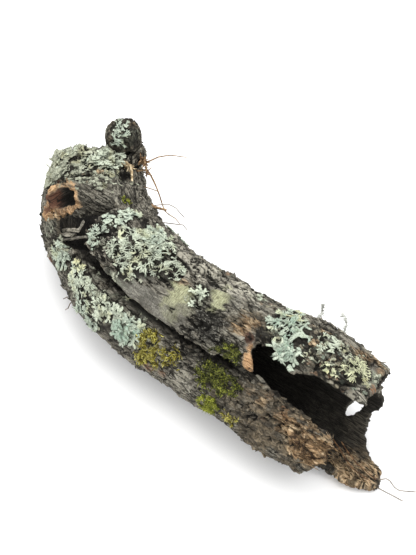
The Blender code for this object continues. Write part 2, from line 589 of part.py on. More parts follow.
def root(name, first, last, points, surface, cutter):
    """A root or a hair, as a tapering tube that starts in the bark."""
    bm = bmesh.new()
    path = [Vector(point) * MM for point in points]
    radii = [(first + (last - first) * i / (len(path) - 1)) * MM for i in range(len(path))]
    tube(bm, path, radii, 5 if first > 0.45 else 4)
    cut(add_object(name, bm, surface), cutter)


def strip(name, half_width, half_thickness, faces, points, surface, cutter):
    """A thin strip of torn bark that lies in the recess."""
    bm = bmesh.new()
    path = [Vector(point) * MM for point in points]
    tube(bm, path, [half_width * MM] * len(path), 6)
    along = path[-1] - path[0]
    flat = along.cross(faces.cross(along)).normalized()
    for vert in bm.verts:
        nearest = min(path, key=lambda spot: (vert.co - spot).length)
        vert.co -= flat * (vert.co - nearest).dot(flat) * (1 - half_thickness / half_width)
    cut(add_object(name, bm, surface), cutter)


def main():
    """Builds the whole branch."""
    for thing in list(bpy.data.objects):
        bpy.data.objects.remove(thing)
    bark = material("bark", (0.115, 0.095, 0.075), 0.9)
    wood = material("weathered_wood", (0.10, 0.075, 0.055), 0.85)
    lichen = material("lichen", (0.46, 0.58, 0.48), 0.9)
    moss = material("moss", (0.20, 0.22, 0.03), 0.95)
    fibre = material("root", (0.36, 0.20, 0.09), 0.8)
    tube_of_bark = bark_tube(bark)
    side_branch(bark)
    stub = branch_stub(wood)
    around_bark = clearance(tube_of_bark, "around_bark")
    for name, outline in LICHENS.items():
        growth(name, outline, crown(LICHEN_HEIGHT), rooted(2 * MM), lichen, around_bark)
    growth("lichen_dropping", DROPPING_LICHEN, crown(LICHEN_HEIGHT), rooted(0.4 * MM), lichen, around_bark)
    for name, (outline, height) in MOSSES.items():
        growth(name, outline, crown(height), rooted(2 * MM), moss, around_bark)
    for name, (first, last, points) in ROOTS.items():
        root(name, first, last, points, fibre, around_bark)
    for name, (half_width, half_thickness, faces, points) in STRIPS.items():
        strip(name, half_width, half_thickness, faces, points, bark, around_bark)
    stub_lichen(lichen, clearance(stub, "around_stub"))


main()
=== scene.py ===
"""The looks of a cork branch: bark, torn edges, lichens, moss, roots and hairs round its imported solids."""
import math

import bmesh
import bpy
import mathutils
import numpy as np
from mathutils import Matrix, Vector
from mathutils.bvhtree import BVHTree


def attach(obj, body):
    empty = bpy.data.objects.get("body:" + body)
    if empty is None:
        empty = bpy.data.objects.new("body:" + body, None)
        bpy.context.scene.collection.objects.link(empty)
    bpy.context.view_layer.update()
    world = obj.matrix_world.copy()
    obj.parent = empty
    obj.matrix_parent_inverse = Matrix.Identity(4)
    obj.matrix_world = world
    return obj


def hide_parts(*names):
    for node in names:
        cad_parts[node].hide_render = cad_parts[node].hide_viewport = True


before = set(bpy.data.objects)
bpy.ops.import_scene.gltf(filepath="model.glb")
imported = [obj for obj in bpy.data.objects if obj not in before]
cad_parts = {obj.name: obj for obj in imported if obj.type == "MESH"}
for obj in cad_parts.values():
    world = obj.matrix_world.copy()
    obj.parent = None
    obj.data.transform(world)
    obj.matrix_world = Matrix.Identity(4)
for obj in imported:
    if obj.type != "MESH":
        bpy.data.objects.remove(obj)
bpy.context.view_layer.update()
MM = 0.001


# The camera
# It looks down on the branch from beyond the near end, at the photograph's angle. Places that are read
# from the photograph are named by their pixel and found by looking from here onto the bark.
VIEW_AZIMUTH = math.radians(58)
VIEW_ELEVATION = math.radians(48)
VIEW_DISTANCE = 0.720
VIEW_TARGET = Vector((-0.0284, 0.0255, 0.035))
PICTURE_WIDTH = 416
PICTURE_HEIGHT = 555
FOCAL_PIXELS = 1000

view_right = Vector((math.cos(VIEW_AZIMUTH), math.sin(VIEW_AZIMUTH), 0))
view_ahead = Vector((-math.sin(VIEW_AZIMUTH) * math.cos(VIEW_ELEVATION),
                     math.cos(VIEW_AZIMUTH) * math.cos(VIEW_ELEVATION), -math.sin(VIEW_ELEVATION)))
view_up = view_right.cross(view_ahead)
view_place = VIEW_TARGET - view_ahead * VIEW_DISTANCE

camera = bpy.data.objects.new("camera", bpy.data.cameras.new("camera"))
camera.data.sensor_fit = "VERTICAL"
camera.data.sensor_height = 36
camera.data.lens = camera.data.sensor_height * FOCAL_PIXELS / PICTURE_HEIGHT
view_turn = Matrix((view_right, view_up, -view_ahead)).transposed().to_4x4()
camera.matrix_world = Matrix.Translation(view_place) @ view_turn
bpy.context.scene.collection.objects.link(camera)
bpy.context.scene.camera = camera


def sight(u, v):
    """The direction in which the camera sees a pixel."""
    across = (u - PICTURE_WIDTH / 2) / FOCAL_PIXELS
    down = (v - PICTURE_HEIGHT / 2) / FOCAL_PIXELS
    return (view_ahead + view_right * across - view_up * down).normalized()


# The table and the light
# A white table under a broad soft light from above and behind, with white walls all round.
FLOOR_SIZE = 6.0
FLOOR_WHITE = 0.92
FLOOR_GLOW = 0.04
WALLS_LIGHT = 1.42
KEY_PLACE = Vector((-0.17, 0.29, 1.30))
KEY_SIZE = 1.5
KEY_POWER = 12.0

bm = bmesh.new()
bmesh.ops.create_grid(bm, x_segments=1, y_segments=1, size=FLOOR_SIZE / 2)
table_mesh = bpy.data.meshes.new("table")
bm.to_mesh(table_mesh)
bm.free()
table = bpy.data.objects.new("table", table_mesh)
bpy.context.scene.collection.objects.link(table)
white = bpy.data.materials.new("white_table")
white.use_nodes = True
paint = white.node_tree.nodes["Principled BSDF"].inputs
paint["Base Color"].default_value = (*[FLOOR_WHITE] * 3, 1)
paint["Roughness"].default_value = 0.9
paint["Specular IOR Level"].default_value = 0.1
paint["Emission Color"].default_value = (1, 1, 1, 1)
paint["Emission Strength"].default_value = FLOOR_GLOW
table_mesh.materials.append(white)

walls = bpy.data.worlds.new("walls")
walls.use_nodes = True
walls.node_tree.nodes["Background"].inputs["Color"].default_value = (1.0, 1.0, 1.0, 1)
walls.node_tree.nodes["Background"].inputs["Strength"].default_value = WALLS_LIGHT
bpy.context.scene.world = walls
bpy.context.scene.view_settings.view_transform = "Standard"

key = bpy.data.objects.new("key_light", bpy.data.lights.new("key_light", "AREA"))
key.data.shape = "DISK"
key.data.size = KEY_SIZE
key.data.energy = KEY_POWER
key.matrix_world = Matrix.Translation(KEY_PLACE) @ KEY_PLACE.to_track_quat("Z", "Y").to_matrix().to_4x4()
bpy.context.scene.collection.objects.link(key)


# The grain of the bark
# Ridges, cracks and streaks all follow the grain, which runs along the bent tube, and along the side
# branch where it crosses. Every place on the bark is given along the grain, round it and out from it.
SPINE = [(-178.4, 15.5), (-155.4, 1.5), (-129.4, -11.5), (-94.4, -21.5), (-56.4, -22.5), (-18.4, -15.5),
         (18.6, -4.0), (55.6, 9.5), (92.6, 22.5), (131.6, 35.5), (170.6, 48.5)]
STATION_LENGTH = 38 * MM
AXIS_HEIGHT = 38.5 * MM
BARK_REACH = 45 * MM
SPINE_STEPS = 24
BRANCH_FORK = np.array((-104.4, -7.5, 71.5)) * MM
BRANCH_MOUTH = np.array((-124.9, -40.5, 69.0)) * MM
BRANCH_LENGTH = np.linalg.norm(BRANCH_MOUTH - BRANCH_FORK)
BRANCH_LINE = (BRANCH_MOUTH - BRANCH_FORK) / BRANCH_LENGTH
BRANCH_REACH = 15.2 * MM
BRANCH_TWIST = 55.0             # how many radians per metre its cracks wind round it


def unit(ways):
    """Directions made one unit long."""
    return ways / np.linalg.norm(ways, axis=1)[:, None]


def spine_table():
    """The tube's line, finely spaced: the point and the direction at each step."""
    rows = np.array(SPINE) * MM
    rows = np.vstack([2 * rows[0] - rows[1], rows, 2 * rows[-1] - rows[-2]])
    points = []
    for a, b, c, d in zip(rows, rows[1:], rows[2:], rows[3:]):
        for f in np.arange(SPINE_STEPS) / SPINE_STEPS:
            points.append(0.5 * (2 * b + (c - a) * f + (2 * a - 5 * b + 4 * c - d) * f ** 2
                                 + (3 * b - a - 3 * c + d) * f ** 3))
    points = np.array(points)
    return points, unit(np.gradient(points, axis=0))


spine_points, spine_along = spine_table()


def bark_place(points):
    """The station, the angle and the distance from the tube's axis of each point, and its way outwards."""
    nearest = np.empty(len(points), int)
    for start in range(0, len(points), 20000):
        block = points[start:start + 20000, None, :2] - spine_points[None]
        nearest[start:start + 20000] = np.argmin((block ** 2).sum(2), axis=1)
    along = spine_along[nearest]
    front = np.stack([along[:, 1], -along[:, 0]], axis=1)
    off = points[:, :2] - spine_points[nearest]
    sideways = (off * front).sum(1)
    ahead = (off * along).sum(1)
    up = points[:, 2] - AXIS_HEIGHT
    station = nearest / SPINE_STEPS - 1 + ahead / STATION_LENGTH
    reach = np.hypot(sideways, up)
    angle = np.degrees(np.arctan2(up, sideways))
    outward = np.column_stack([front * sideways[:, None], up]) / np.maximum(reach, 1e-6)[:, None]
    return station, angle, reach, outward


def by_line(points, start, line):
    """How far along a line each point is, and its way across from the line."""
    off = points - start
    ahead = off @ line
    return ahead, off - ahead[:, None] * line


def grain_of(points):
    """Each point's place in the grain, its way outwards, and whether it is on the side branch.

    The place in the grain is how far along it, and two ways round it.
    """
    station, angle, _, outward = bark_place(points)
    turn = np.radians(angle)
    grain = np.column_stack([station * STATION_LENGTH, BARK_REACH * np.cos(turn), BARK_REACH * np.sin(turn)])
    ahead, across = by_line(points, BRANCH_FORK, BRANCH_LINE)
    away = np.linalg.norm(across, axis=1)
    on_branch = (away < BRANCH_REACH) & (ahead > -1 * MM) & (ahead < BRANCH_LENGTH + 20 * MM)
    branch_out = across / np.maximum(away, 1e-6)[:, None]
    side = np.cross(BRANCH_LINE, (0, 0, 1.0))
    side /= np.linalg.norm(side)
    round_branch = np.arctan2(branch_out[:, 2], branch_out @ side) + ahead * BRANCH_TWIST
    branch_grain = np.column_stack([ahead + 1, BRANCH_REACH * np.cos(round_branch),
                                    BRANCH_REACH * np.sin(round_branch)])
    grain[on_branch] = branch_grain[on_branch]
    outward[on_branch] = branch_out[on_branch]
    return grain, outward, on_branch


# The bark
# One piece of raw cork bark: ridged along the grain outside, torn at its ends and edges, smooth and
# dark brown inside, with painted shade deep in the tube. The side branch grew out of it, so both are one skin.
SKIN_VOXEL = 0.75 * MM
SKIN_SMOOTHING = 16
SKIN_TRIANGLES = 195000
CRISP_ANGLE = math.radians(38)
FORK_OVERLAP = 2.5 * MM         # how far the side branch is sunk in the tube, where it grew out of it


def mesh_arrays(mesh):
    """The corners of a mesh and their normals, as arrays."""
    points = np.empty(len(mesh.vertices) * 3)
    mesh.vertices.foreach_get("co", points)
    normals = np.empty(len(mesh.vertices) * 3)
    mesh.vertex_normals.foreach_get("vector", normals)
    return points.reshape(-1, 3), normals.reshape(-1, 3)


def reshape(mesh, points):
    """Moves the corners of a mesh to new places."""
    mesh.vertices.foreach_set("co", points.ravel())
    mesh.update()


def tree_of(*meshes):
    """A tree of the faces of some meshes, in which the nearest place or the one in sight is found."""
    places, faces = [], []
    for mesh in meshes:
        faces += [tuple(len(places) + i for i in face.vertices) for face in mesh.polygons]
        places += [vert.co for vert in mesh.vertices]
    return BVHTree.FromPolygons(places, faces)


def finished(thing):
    """The mesh of an object with its modifiers applied."""
    bpy.context.view_layer.update()
    shape = thing.evaluated_get(bpy.context.evaluated_depsgraph_get())
    return bpy.data.meshes.new_from_object(shape)


def wear(mesh, look):
    """Gives a mesh one material."""
    mesh.materials.clear()
    mesh.materials.append(look)


def new_object(name, mesh, look=None):
    """An object with the given mesh, in the scene."""
    thing = bpy.data.objects.new(name, mesh)
    bpy.context.scene.collection.objects.link(thing)
    if look:
        wear(mesh, look)
    return thing


def remeshed(thing, voxel, smoothing):
    """The mesh of an object rebuilt in small even faces, with its facets smoothed away."""
    remesh = thing.modifiers.new("remesh", "REMESH")
    remesh.mode = "VOXEL"
    remesh.voxel_size = voxel
    soften = thing.modifiers.new("soften", "SMOOTH")
    soften.factor = 0.5
    soften.iterations = smoothing
    mesh = finished(thing)
    thing.modifiers.clear()
    return mesh


def reduced(mesh, triangles):
    """The mesh with its flattest faces merged, down to a number of triangles."""
    thing = new_object("reduced", mesh)
    fewer = thing.modifiers.new("fewer", "DECIMATE")
    mesh.calc_loop_triangles()
    fewer.ratio = min(triangles / len(mesh.loop_triangles), 1)
    result = finished(thing)
    bpy.data.objects.remove(thing)
    return result


bm = bmesh.new()
bm.from_mesh(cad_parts["side_branch"].data)
fork = Vector(BRANCH_FORK)
sunk = Vector(BRANCH_FORK - BRANCH_MOUTH).normalized() * FORK_OVERLAP
for vert in bm.verts:
    if (vert.co - fork).dot(sunk.normalized()) > -2 * MM:
        vert.co += sunk
bm.from_mesh(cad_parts["bark_tube"].data)
bmesh.ops.remove_doubles(bm, verts=bm.verts, dist=0.001 * MM)
coarse = bpy.data.meshes.new("bark_skin")
bm.to_mesh(coarse)
bm.free()
mark_tree = tree_of(coarse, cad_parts["branch_stub"].data)


# The stains and painted shade of the bark
# Raw bark differs in colour from place to place: orange-tan where it is torn, with films of algae and grey
# crusts.
# The dark marks are mostly painted shade in its cracks, pits and hollows. Each mark is a pixel, a reach in
# pixels and a strength.
MARKS = {
    "tan": [(131, 123, 5, 0.5), (300, 442, 20, 0.9), (320, 452, 16, 1), (288, 428, 14, 0.7),
            (330, 440, 10, 0.6), (350, 462, 22, 0.9), (362, 462, 16, 1), (364, 476, 20, 1), (374, 474, 12, 1),
            (345, 454, 14, 0.9), (355, 472, 20, 1), (70, 208, 4, 1), (57, 213, 5, 0.9), (250, 348, 6, 1),
            (250, 355, 9, 1), (251, 363, 8, 1), (252, 370, 5, 1), (246, 326, 12, 0.75), (326, 448, 12, 1),
            (318, 456, 10, 1), (278, 418, 8, 0.5), (262, 402, 6, 0.5), (250, 392, 5, 0.4),
            (365, 357, 13, 0.8), (376, 362, 8, 0.9), (315, 343, 6, 0.8), (323, 329, 4, 0.8),
            (380, 372, 8, 0.6), (305, 458, 12, 1), (100, 172, 5, 0.6), (182, 282, 6, 0.5), (164, 250, 6, 0.5),
            (383, 440, 8, 0.5), (222, 252, 8, 0.3), (360, 450, 10, 0.5)],
    "cork": [(322, 450, 17, 0.9), (300, 442, 18, 0.9), (270, 425, 46, 0.95), (250, 438, 20, 0.9),
             (285, 456, 22, 0.9), (310, 466, 16, 0.9), (228, 402, 22, 0.7), (245, 400, 26, 0.7),
             (222, 425, 20, 0.6), (196, 290, 6, 0.2), (248, 322, 16, 0.8), (340, 420, 16, 0.3),
             (125, 124, 8, 0.8), (132, 130, 6, 0.6), (300, 375, 14, 0.3), (232, 322, 10, 0.7)],
    "rust": [(284, 412, 6, 0.5), (270, 396, 4, 0.3), (148, 366, 7, 0.8), (162, 374, 6, 0.6),
             (374, 389, 6, 0.9), (262, 418, 4, 0.3), (140, 358, 5, 0.6), (292, 432, 4, 0.4),
             (60, 204, 6, 0.7)],
    "red": [(249, 338, 8, 0.9), (52, 203, 7, 1), (47, 199, 6, 1), (48, 210, 6, 0.9), (60, 213, 4, 0.5),
            (51, 259, 6, 0.9), (62, 222, 14, 0.35), (96, 306, 4, 0.4)],
    "yellow": [(180, 293, 14, 1), (170, 300, 9, 0.7), (172, 312, 13, 0.35), (186, 312, 8, 0.3),
               (220, 300, 13, 1), (214, 306, 8, 1), (102, 185, 6, 0.6), (228, 288, 6, 0.5)],
    "smooth": [(377, 372, 11, 0.8), (373, 388, 8, 0.6), (249, 347, 8, 1), (250, 356, 9, 1), (251, 364, 8, 1),
               (252, 372, 6, 1), (220, 300, 13, 1), (140, 297, 28, 1), (160, 312, 20, 1), (178, 318, 15, 0.8),
               (120, 285, 16, 0.7), (180, 296, 16, 0.8), (218, 300, 11, 0.8)],
    "specks": [(205, 330, 21, 1), (197, 322, 8, 0.8), (222, 345, 12, 0.9), (205, 352, 14, 0.7),
               (236, 300, 12, 0.6)],
    "pale": [(205, 268, 28, 0.85), (240, 292, 24, 0.8), (262, 303, 16, 0.7), (178, 250, 16, 0.6),
             (325, 452, 9, 0.3), (118, 240, 12, 0.5), (180, 378, 18, 0.35), (185, 255, 14, 0.3),
             (340, 345, 16, 0.4), (357, 393, 12, 0.6), (110, 200, 14, 0.3), (215, 345, 5, 0.5)],
    "crust": [(90, 166, 34, 1), (62, 165, 18, 1), (120, 134, 16, 0.8), (84, 280, 22, 0.6),
              (105, 305, 22, 0.7), (132, 330, 22, 0.7), (95, 240, 10, 0.8), (114, 220, 12, 0.8),
              (140, 255, 34, 0.8), (290, 330, 22, 0.7), (332, 352, 22, 0.6), (360, 372, 20, 0.9),
              (376, 378, 15, 1), (312, 356, 10, 0.8), (50, 226, 12, 0.4), (62, 250, 14, 0.6),
              (200, 300, 12, 0.6), (258, 298, 8, 0.6)],
    # Painted shade: black in pits, cracks, gaps and hollows and under the knobs of the roof.
    "dark": [(84, 150, 2.4, 1), (104, 149, 2.2, 1), (60, 158, 2.4, 1), (97, 161, 2.2, 1), (116, 162, 2.2, 1),
             (86, 169, 2.4, 1), (70, 185, 3, 0.9), (76, 176, 2.2, 1), (277, 453, 2.6, 0.9),
             (280, 447, 2.6, 0.9), (284, 440, 2.6, 0.95), (288, 433, 2.4, 0.95), (293, 427, 2.2, 0.9),
             (66, 150, 3, 1), (92, 148, 3, 0.9), (100, 177, 4, 0.9), (84, 178, 3, 0.9), (110, 171, 4, 0.9),
             (72, 172, 3, 0.9), (118, 150, 3, 0.9), (58, 170, 3, 0.9), (138, 256, 5, 1), (122, 262, 3, 0.8),
             (163, 251, 4, 0.8), (296, 345, 5, 0.9), (310, 352, 5, 0.9), (198, 297, 3, 0.9),
             (90, 300, 4, 0.8), (112, 300, 3, 0.9), (290, 462, 4, 0.6), (90, 224, 9, 1), (83, 245, 8, 1),
             (77, 160, 6, 0.9), (126, 175, 7, 1), (126, 143, 9, 0.8), (265, 340, 10, 0.8), (250, 338, 6, 0.6),
             (222, 372, 22, 0.5), (62, 181, 6, 0.7), (229, 279, 4, 1), (150, 270, 16, 0.4),
             (330, 366, 14, 0.7), (345, 378, 8, 0.7), (300, 366, 8, 0.7), (320, 468, 14, 0.6),
             (335, 462, 6, 0.8), (67, 201, 8, 1), (206, 290, 7, 0.6), (110, 335, 14, 0.5), (185, 352, 8, 0.4),
             (382, 398, 6, 0.6), (325, 318, 8, 0.4), (262, 372, 6, 0.8)],
    "bared": [(66, 222, 14, 0.9), (354, 434, 22, 1), (330, 424, 16, 0.5), (364, 450, 14, 0.8),
              (318, 412, 14, 0.3)],
    "knobs": [(330, 365, 20, 1), (346, 378, 16, 1), (312, 350, 12, 0.8), (340, 345, 14, 0.7),
              (268, 335, 12, 0.9), (80, 170, 26, 0.6), (268, 305, 12, 0.6), (222, 272, 14, 0.7),
              (300, 325, 14, 0.5), (318, 335, 10, 0.9)],
}
EDGE_WANDER = 0.45              # how far a stain's edge wanders, as a share of its reach
MOUTH_RADIUS = 8.0 * MM         # of the side branch's hollow
MOUTH_FACES = np.array((0.57, -0.36, 0.74))     # the way that the side branch's slanting mouth faces
MOUTH_SLANT = 12.35 * MM        # how far it slants
MOUTH_TORN = 3.5 * MM           # how far its edge wanders


def smooth(x, low, high):
    """0 below low, 1 above high and a smooth rise between."""
    f = np.clip((np.asarray(x, float) - low) / (high - low), 0, 1)
    return f * f * (3 - 2 * f)


def random_at(cells, seed):
    """A random value from -1 to 1 for each cell of a grid."""
    mixed = cells[:, 0] * 73856093 ^ cells[:, 1] * 19349663 ^ cells[:, 2] * 83492791 ^ seed * 26544357
    mixed = (mixed ^ (mixed >> 13)) * 1274126177
    return ((mixed ^ (mixed >> 16)) & 0xFFFF) / 32767.5 - 1


def noise(points, size, seed):
    """Smooth random values from -1 to 1, with lumps of the given size, or three sizes along the axes."""
    scaled = points / np.asarray(size, float) + 1000
    cell = np.floor(scaled).astype(np.int64)
    f = scaled - cell
    f = f * f * (3 - 2 * f)
    total = np.zeros(len(points))
    for corner in np.ndindex(2, 2, 2):
        share = np.prod(np.where(corner, f, 1 - f), axis=1)
        total += share * random_at(cell + corner, seed)
    return total


def swirl(points, size, seed):
    """Three smooth random values for each point."""
    return np.column_stack([noise(points, size, seed + k) for k in range(3)])


def drawn(points, long, wide, seed):
    """Noise drawn out along the grain, with its length and its width in millimetres."""
    return noise(points, (long * MM, wide * MM, wide * MM), seed)


def cells(points, size, seed):
    """How far each point is from the edge of its cell, in the size of a cell, and its cell's random value."""
    scaled = points / np.asarray(size, float) + 1000
    home = np.floor(scaled).astype(np.int64)
    nearest = np.full(len(points), 9.0)
    second = nearest.copy()
    value = np.zeros(len(points))
    for step in np.ndindex(3, 3, 3):
        cell = home + step - 1
        jitter = np.stack([random_at(cell, seed + k) for k in range(3)], axis=1) * 0.45 + 0.5
        away = np.linalg.norm(cell + jitter - scaled, axis=1)
        second = np.minimum(second, np.maximum(away, nearest))
        value = np.where(away < nearest, random_at(cell, seed + 9), value)
        nearest = np.minimum(nearest, away)
    return second - nearest, value


def seen(u, v):
    """The place on the bark that the camera sees at a pixel, and its distance from the camera."""
    hit, _, _, distance = mark_tree.ray_cast(view_place, sight(u, v))
    return hit, distance


def mark_shares(points, grain, kinds):
    """How strongly each point carries each kind of mark, from 0 to 1."""
    wander = drawn(grain, 12, 4, 21) + 0.7 * drawn(grain, 5, 1.6, 22)
    shares = {}
    for kind in kinds:
        shares[kind] = np.zeros(len(points))
        for u, v, reach, strength in MARKS[kind]:
            hit, distance = seen(u, v)
            if hit is None:
                continue
            reach *= distance / FOCAL_PIXELS
            near = np.nonzero(np.abs(points - np.array(hit)).max(1) < 2 * reach)[0]
            away = np.linalg.norm(points[near] - np.array(hit), axis=1) / reach + EDGE_WANDER * wander[near]
            shares[kind][near] = np.maximum(shares[kind][near], strength * (1 - smooth(away, 0.65, 1.05)))
    return shares


def mouth_share(points):
    """How much each point lies at the torn rim of the side branch's mouth, and on the wall inside it."""
    share, wall = np.zeros(len(points)), np.zeros(len(points))
    ahead, across = by_line(points, BRANCH_FORK, BRANCH_LINE)
    away = np.linalg.norm(across, axis=1)
    near = np.nonzero((away < BRANCH_REACH + MM) & (ahead > BRANCH_LENGTH - 20 * MM))[0]
    side = across[near] / np.maximum(away[near], 1e-6)[:, None]
    torn = MOUTH_TORN * np.array([mathutils.noise.noise(Vector(way) * 1.6) for way in side])
    behind = BRANCH_LENGTH + torn - MOUTH_SLANT * (side @ MOUTH_FACES) - ahead[near]
    rim = smooth(away[near], MOUTH_RADIUS - 1.2 * MM, MOUTH_RADIUS + 0.2 * MM)
    wander = 1.6 * MM * noise(points[near], 4 * MM, 31)
    share[near] = rim * (1 - smooth(behind + wander, 2.5 * MM, 4.5 * MM))
    wall[near] = smooth(ahead[near] - BRANCH_LENGTH + wander, -2.5 * MM, 0.5 * MM)
    return share, wall


def thin_lines(values, width):
    """1 on the lines where smooth values pass through 0, and 0 beside them."""
    return 1 - smooth(np.abs(values), 0.0, width)


def bark_relief(points, grain, facing, stains):
    """How high the bark stands at each point, in millimetres: on its outside, and in all."""
    calm, knobs, cork = stains["smooth"], stains["knobs"], stains["cork"]
    outside = np.maximum(smooth(facing, -0.1, 0.45), 0.8 * smooth(stains["tan"], 0.2, 0.6))
    torn = 1 - smooth(np.abs(facing), 0.2, 0.6)
    bent = grain + 2.5 * MM * swirl(points, 7 * MM, 15)
    lumps = 1.2 * drawn(grain, 16, 8, 1) + 0.6 * drawn(grain, 9, 3.4, 2)
    edge, level = cells(bent, (12 * MM, 4.4 * MM, 4.4 * MM), 6)
    small_edge, small_level = cells(bent, (5.2 * MM, 2.1 * MM, 2.1 * MM), 26)
    plates = 1.15 * level - 1.6 * (1 - smooth(edge, 0.0, 0.12))
    chips = 0.60 * small_level - 0.45 * (1 - smooth(small_edge, 0.0, 0.18))
    furrow = -1.9 * thin_lines(drawn(bent, 42, 5.5, 3), 0.11)
    crack = -1.0 * thin_lines(drawn(bent, 20, 3, 5), 0.12)
    across = -1.0 * thin_lines(drawn(bent, 4, 14, 18), 0.05)
    ridges = 0.7 * drawn(bent, 18, 1.7, 19)
    grit = 0.35 * noise(grain, 1.5 * MM, 7)
    plated = smooth(noise(grain, 28 * MM, 8), -0.35, 0.2)
    rough = (0.6 + 0.4 * smooth(noise(grain, 40 * MM, 9), -0.4, 0.2)) * (1 - 0.92 * calm)
    wrinkles = cork * (0.8 * drawn(bent, 2.2, 8, 28) + 0.9 * noise(points, 3 * MM, 29)
                       - 1.4 * thin_lines(drawn(bent, 6, 12, 36), 0.09))
    knobbly = knobs * (3.0 * smooth(noise(points, 5 * MM, 13), -0.05, 0.45)
                       + 1.0 * noise(points, 2 * MM, 14) - 0.8)
    fibrous = smooth(stains["tan"], 0.3, 0.8) * (1 - calm)
    strands = fibrous * (1 - 0.8 * cork) * 1.1 * drawn(bent, 20, 1.8, 27)
    strands += fibrous * (0.7 + 0.7 * cork) * noise(points, 2.6 * MM, 35)
    rise = rough * (lumps + furrow + crack + across * plated + plates * plated + chips + ridges + grit)
    rise = rise + knobbly + (strands + wrinkles)
    inner = (1 - outside) * (0.5 * drawn(grain, 20, 2.2, 10) + 0.4 * grit)
    ragged = torn * (1.1 * noise(points, 2.6 * MM, 11) + 0.5 * noise(points, 1.2 * MM, 12)) * (1 - 0.8 * calm)
    fringe, _ = mouth_share(points)
    ragged += fringe * (1.2 * noise(points, 4.5 * MM, 32) + 1.0 * noise(points, 2 * MM, 33))
    return outside * rise, outside * rise + inner + ragged


bark_skin = new_object("bark_skin", coarse)
fine = remeshed(bark_skin, SKIN_VOXEL, SKIN_SMOOTHING)

points, normals = mesh_arrays(fine)
grain, outward, _ = grain_of(points)
facing = (normals * outward).sum(1)
shaping_stains = mark_shares(points, grain, ("smooth", "knobs", "tan", "cork"))
height, move = bark_relief(points, grain, facing, shaping_stains)
points += normals * (move * MM)[:, None]
points[:, 2] = np.maximum(points[:, 2], 0)
reshape(fine, points)
skin_mesh = reduced(fine, SKIN_TRIANGLES)
bark_skin.data = skin_mesh
skin_mesh.name = "bark_skin"
skin_mesh.shade_smooth()
skin_mesh.set_sharp_from_angle(angle=CRISP_ANGLE)
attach(bark_skin, "root")
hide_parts("bark_tube", "side_branch")

skin_points, skin_normals = mesh_arrays(skin_mesh)
skin_grain, skin_outward, skin_on_branch = grain_of(skin_points)


# The stub of a twig
# A broken twig stands at the far end: weathered wood with cracks along it, ragged and rounded on top.
STUB_FOOT = np.array((-145.9, 24.0, 76.0)) * MM
STUB_VOXEL = 0.6 * MM
STUB_WORN = 0.4                 # millimetres, how far its skin lies in its solid where it isn't raised

stub = new_object("twig_stub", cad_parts["branch_stub"].data.copy())
stub_mesh = remeshed(stub, STUB_VOXEL, 8)
stub_points, stub_normals = mesh_arrays(stub_mesh)
stub_line = stub_points.mean(0) - STUB_FOOT
stub_line /= np.linalg.norm(stub_line)
stub_ahead, stub_across = by_line(stub_points, STUB_FOOT, stub_line)
stub_grain = np.column_stack([stub_ahead, stub_across[:, 0], stub_across[:, 1]])
edge, level = cells(stub_grain, (6 * MM, 3 * MM, 3 * MM), 41)
stub_rise = (0.35 * level - 0.3 * (1 - smooth(edge, 0, 0.2)) + 0.5 * drawn(stub_grain, 16, 1.6, 42)
             - 1.1 * thin_lines(drawn(stub_grain, 24, 4, 43), 0.10))
stub_points += stub_normals * (stub_rise - STUB_WORN)[:, None] * MM
reshape(stub_mesh, stub_points)
stub.data = stub_mesh
stub_mesh.shade_smooth()
stub_mesh.set_sharp_from_angle(angle=CRISP_ANGLE)
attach(stub, "root")
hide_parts("branch_stub")

skin_tree = tree_of(skin_mesh, stub_mesh)
skin_mesh.calc_loop_triangles()
skin_triangles = np.array([tuple(t.vertices) for t in skin_mesh.loop_triangles])


# The look of the bark
# All bark has one material, worked out from what is stored at its corners: the grain, the stains, how
# high it stands, and whether it lies in the hollow or is torn.
UNDERSIDE_TOP = 15 * MM         # the bark is darker up to here: painted shade where it lies near the table
UNDERSIDE_SHADE = 0.6
LICHEN_GAP_SHADE = 0.95             # painted shade on the bark under a lichen, black in the gaps between its lobes

# The material reads three kinds of stain from each of these stored values.
STAIN_GROUPS = {"stain_warm": ("tan", "cork", "rust"), "stain_film": ("yellow", "crust", "pale"),
                "stain_deep": ("dark", "red", "specks"), "stain_form": ("knobs", "smooth", "bared")}


def keep_values(mesh, name, values):
    """Stores three values for each corner of a mesh."""
    kept = mesh.attributes.new(name, "FLOAT_VECTOR", "POINT")
    kept.data.foreach_set("vector", values.astype(np.float32).ravel())


def give_bark_values(mesh, grain, stains, form):
    """Stores what the bark's material reads: the grain, four groups of stains and the form."""
    keep_values(mesh, "grain", grain)
    for name, kinds in STAIN_GROUPS.items():
        keep_values(mesh, name, np.column_stack([stains[kind] for kind in kinds]))
    keep_values(mesh, "form", form)


pad_tree = tree_of(*[node.data for name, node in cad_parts.items() if name.startswith("lichen_")])
to_pads = np.array([pad_tree.find_nearest(p)[3] for p in skin_points])

stains = mark_shares(skin_points, skin_grain, MARKS)
_, _, reach, _ = bark_place(skin_points)
facing = (skin_normals * skin_outward).sum(1)
fringe, mouth_wall = mouth_share(skin_points)
stains["tan"] = np.maximum(stains["tan"] * (1 - 0.7 * mouth_wall), fringe)
stains["red"] = np.maximum(stains["red"], mouth_wall * (1 - fringe))
stains["smooth"] = np.maximum(stains["smooth"], 0.8 * fringe)
stains["dark"] *= 1 - fringe
height, _ = bark_relief(skin_points, skin_grain, facing, stains)
# The inside of the tube and the faces turned into it: dark brown inner bark with painted shade.
hollow = (1 - smooth(reach, 30 * MM, 37 * MM)) * (~skin_on_branch)
hollow = np.maximum(hollow, 1 - smooth(facing, -0.5, 0.1)) * (1 - stains["tan"]) * (1 - 0.7 * stains["bared"])
hollow *= 1 - mouth_wall
torn = (1 - smooth(np.abs(facing), 0.25, 0.75)) * (reach < 60 * MM)
covered = 1 - smooth(to_pads + 0.9 * MM * noise(skin_points, 3 * MM, 34), 0.4 * MM, 2.0 * MM)
